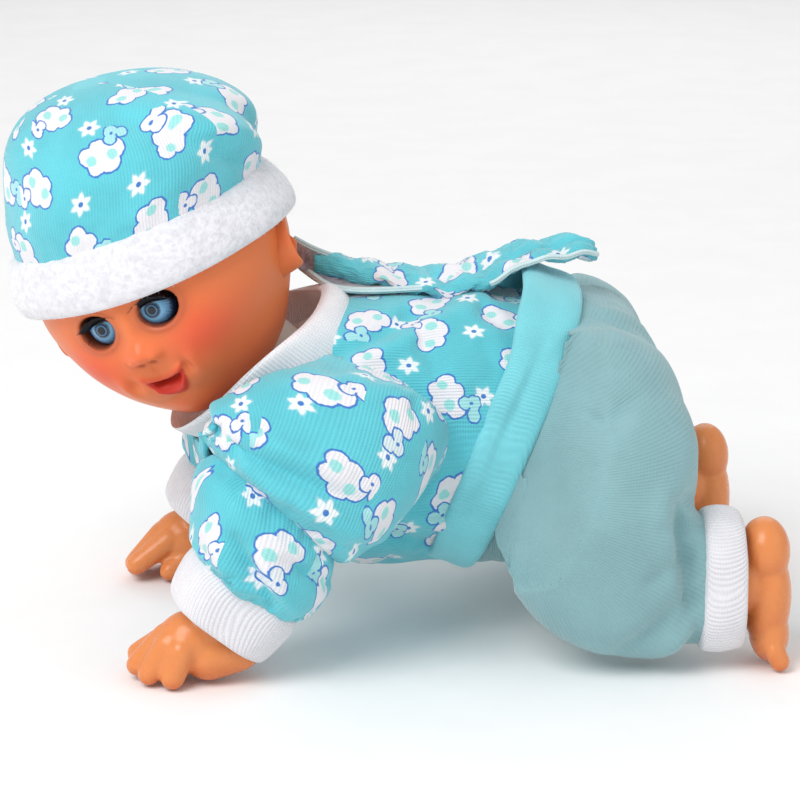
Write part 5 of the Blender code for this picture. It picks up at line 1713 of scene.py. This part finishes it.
def make_leg(word, side, mats):
    """Leg and chubby foot, its sole facing back and its toes on the floor."""
    y = side * LIMB_Y
    parts = [
        rod((HIP[0], y, HIP[1]), (65.0, y, 19.5), 9.0, 9.6),
        rod((65.0, y, 19.5), (90.0, y, 24.5), 9.6, 9.6),
        ball((84.0, y, 25.3), (9.0, 9.8, 13.8)),
        ball((97.4, side * 45.8, 33.0), (7.2, 8.8, 10.0)),
        ball((98.4, side * 45.8, 20.0), (6.9, 9.2, 15.0)),
        ball((99.4, side * 45.8, 9.4), (5.6, 9.0, 8.4)),
    ]
    for k in range(5):
        spread = (k - 2) * 3.7
        size = 2.9 - 0.28 * k
        toe_y = side * (46.0 - spread)
        parts.append(rod((99.6, toe_y, 6.4), (101.2, toe_y, 3.2 + 0.35 * k), size, size))
    leg = fuse(f"leg_{word}_skin", parts, 0.8, relax=5)
    points = vertices(leg)
    points[:, 2] = np.maximum(points[:, 2], 0.15)
    move_vertices(leg, points)
    paint_limb(leg, np.array([98.0, y, 22.0]), 20.0)
    shells = f"leg_{word}_inner_shell", f"leg_{word}_outer_shell"
    dress(leg, mats["limb_plastic"], f"leg_{word}", "limb_plastic", *shells)


# ---------------------------------------------------------------- studio
def make_studio():
    """Pale floor, soft light from all round and the camera."""
    bpy.ops.mesh.primitive_plane_add(size=6.0, location=(0.0, 0.0, 0.0))
    floor = bpy.context.object
    floor.name = "floor"
    floor.data.materials.append(floor_card("floor_card"))

    world = bpy.data.worlds.new("studio")
    world.use_nodes = True
    world.node_tree.nodes["Background"].inputs["Color"].default_value = (1.0, 1.0, 1.0, 1.0)
    world.node_tree.nodes["Background"].inputs["Strength"].default_value = 0.60
    bpy.context.scene.world = world
    add_light("key", (-0.65, -0.70, 1.05), 0.8, 12.5)
    add_light("fill", (0.9, -0.6, 0.5), 1.0, 1.6)
    add_light("back", (0.2, 1.0, 0.8), 1.0, 2.5)
    add_camera()


def add_light(name, place, size, energy):
    data = bpy.data.lights.new(name, "AREA")
    data.size = size
    data.energy = energy
    light = bpy.data.objects.new(name, data)
    light.location = place
    light.rotation_euler = (Vector((0.0, 0.0, 0.06)) - Vector(place)).to_track_quat("-Z", "Y").to_euler()
    bpy.context.scene.collection.objects.link(light)


CAMERA_AZIMUTH = math.radians(-5.0)
CAMERA_HEIGHT = math.radians(16.0)
CAMERA_DISTANCE = 0.9
CAMERA_AIM = Vector((0.0, 0.0, 0.066))
VIEW_WIDTH = 0.2286  # what the camera sees across, at the doll


def add_camera():
    data = bpy.data.cameras.new("camera")
    data.sensor_width = 36.0
    data.lens = data.sensor_width * CAMERA_DISTANCE / VIEW_WIDTH
    data.clip_start = 0.01
    camera = bpy.data.objects.new("camera", data)
    level = math.cos(CAMERA_HEIGHT)
    sideways, forwards = math.sin(CAMERA_AZIMUTH) * level, -math.cos(CAMERA_AZIMUTH) * level
    towards = Vector((sideways, forwards, math.sin(CAMERA_HEIGHT)))
    camera.location = CAMERA_AIM + towards * CAMERA_DISTANCE
    camera.rotation_euler = (-towards).to_track_quat("-Z", "Y").to_euler()
    bpy.context.scene.collection.objects.link(camera)
    bpy.context.scene.camera = camera
    bpy.context.scene.view_settings.view_transform = "Standard"


# ---------------------------------------------------------------- the doll
def main():
    make_studio()
    mats = make_materials()
    make_head(mats)
    make_eyes(mats)
    make_cap(mats)
    make_jacket(mats)
    make_collar(mats)
    make_hood(mats)
    make_waistband(mats)
    for word, side in SIDES.items():
        make_sleeve(word, side, mats)
        make_cuff(f"sleeve_cuff_{word}", SLEEVE_CUFF, side, f"arm_{word}", 0.4, mats)
        make_trousers(word, side, mats)
        make_cuff(f"ankle_cuff_{word}", ANKLE_CUFF, side, f"leg_{word}", 1.9, mats)
        make_arm(word, side, mats)
        make_leg(word, side, mats)
    repaint_cad(mats)


main()
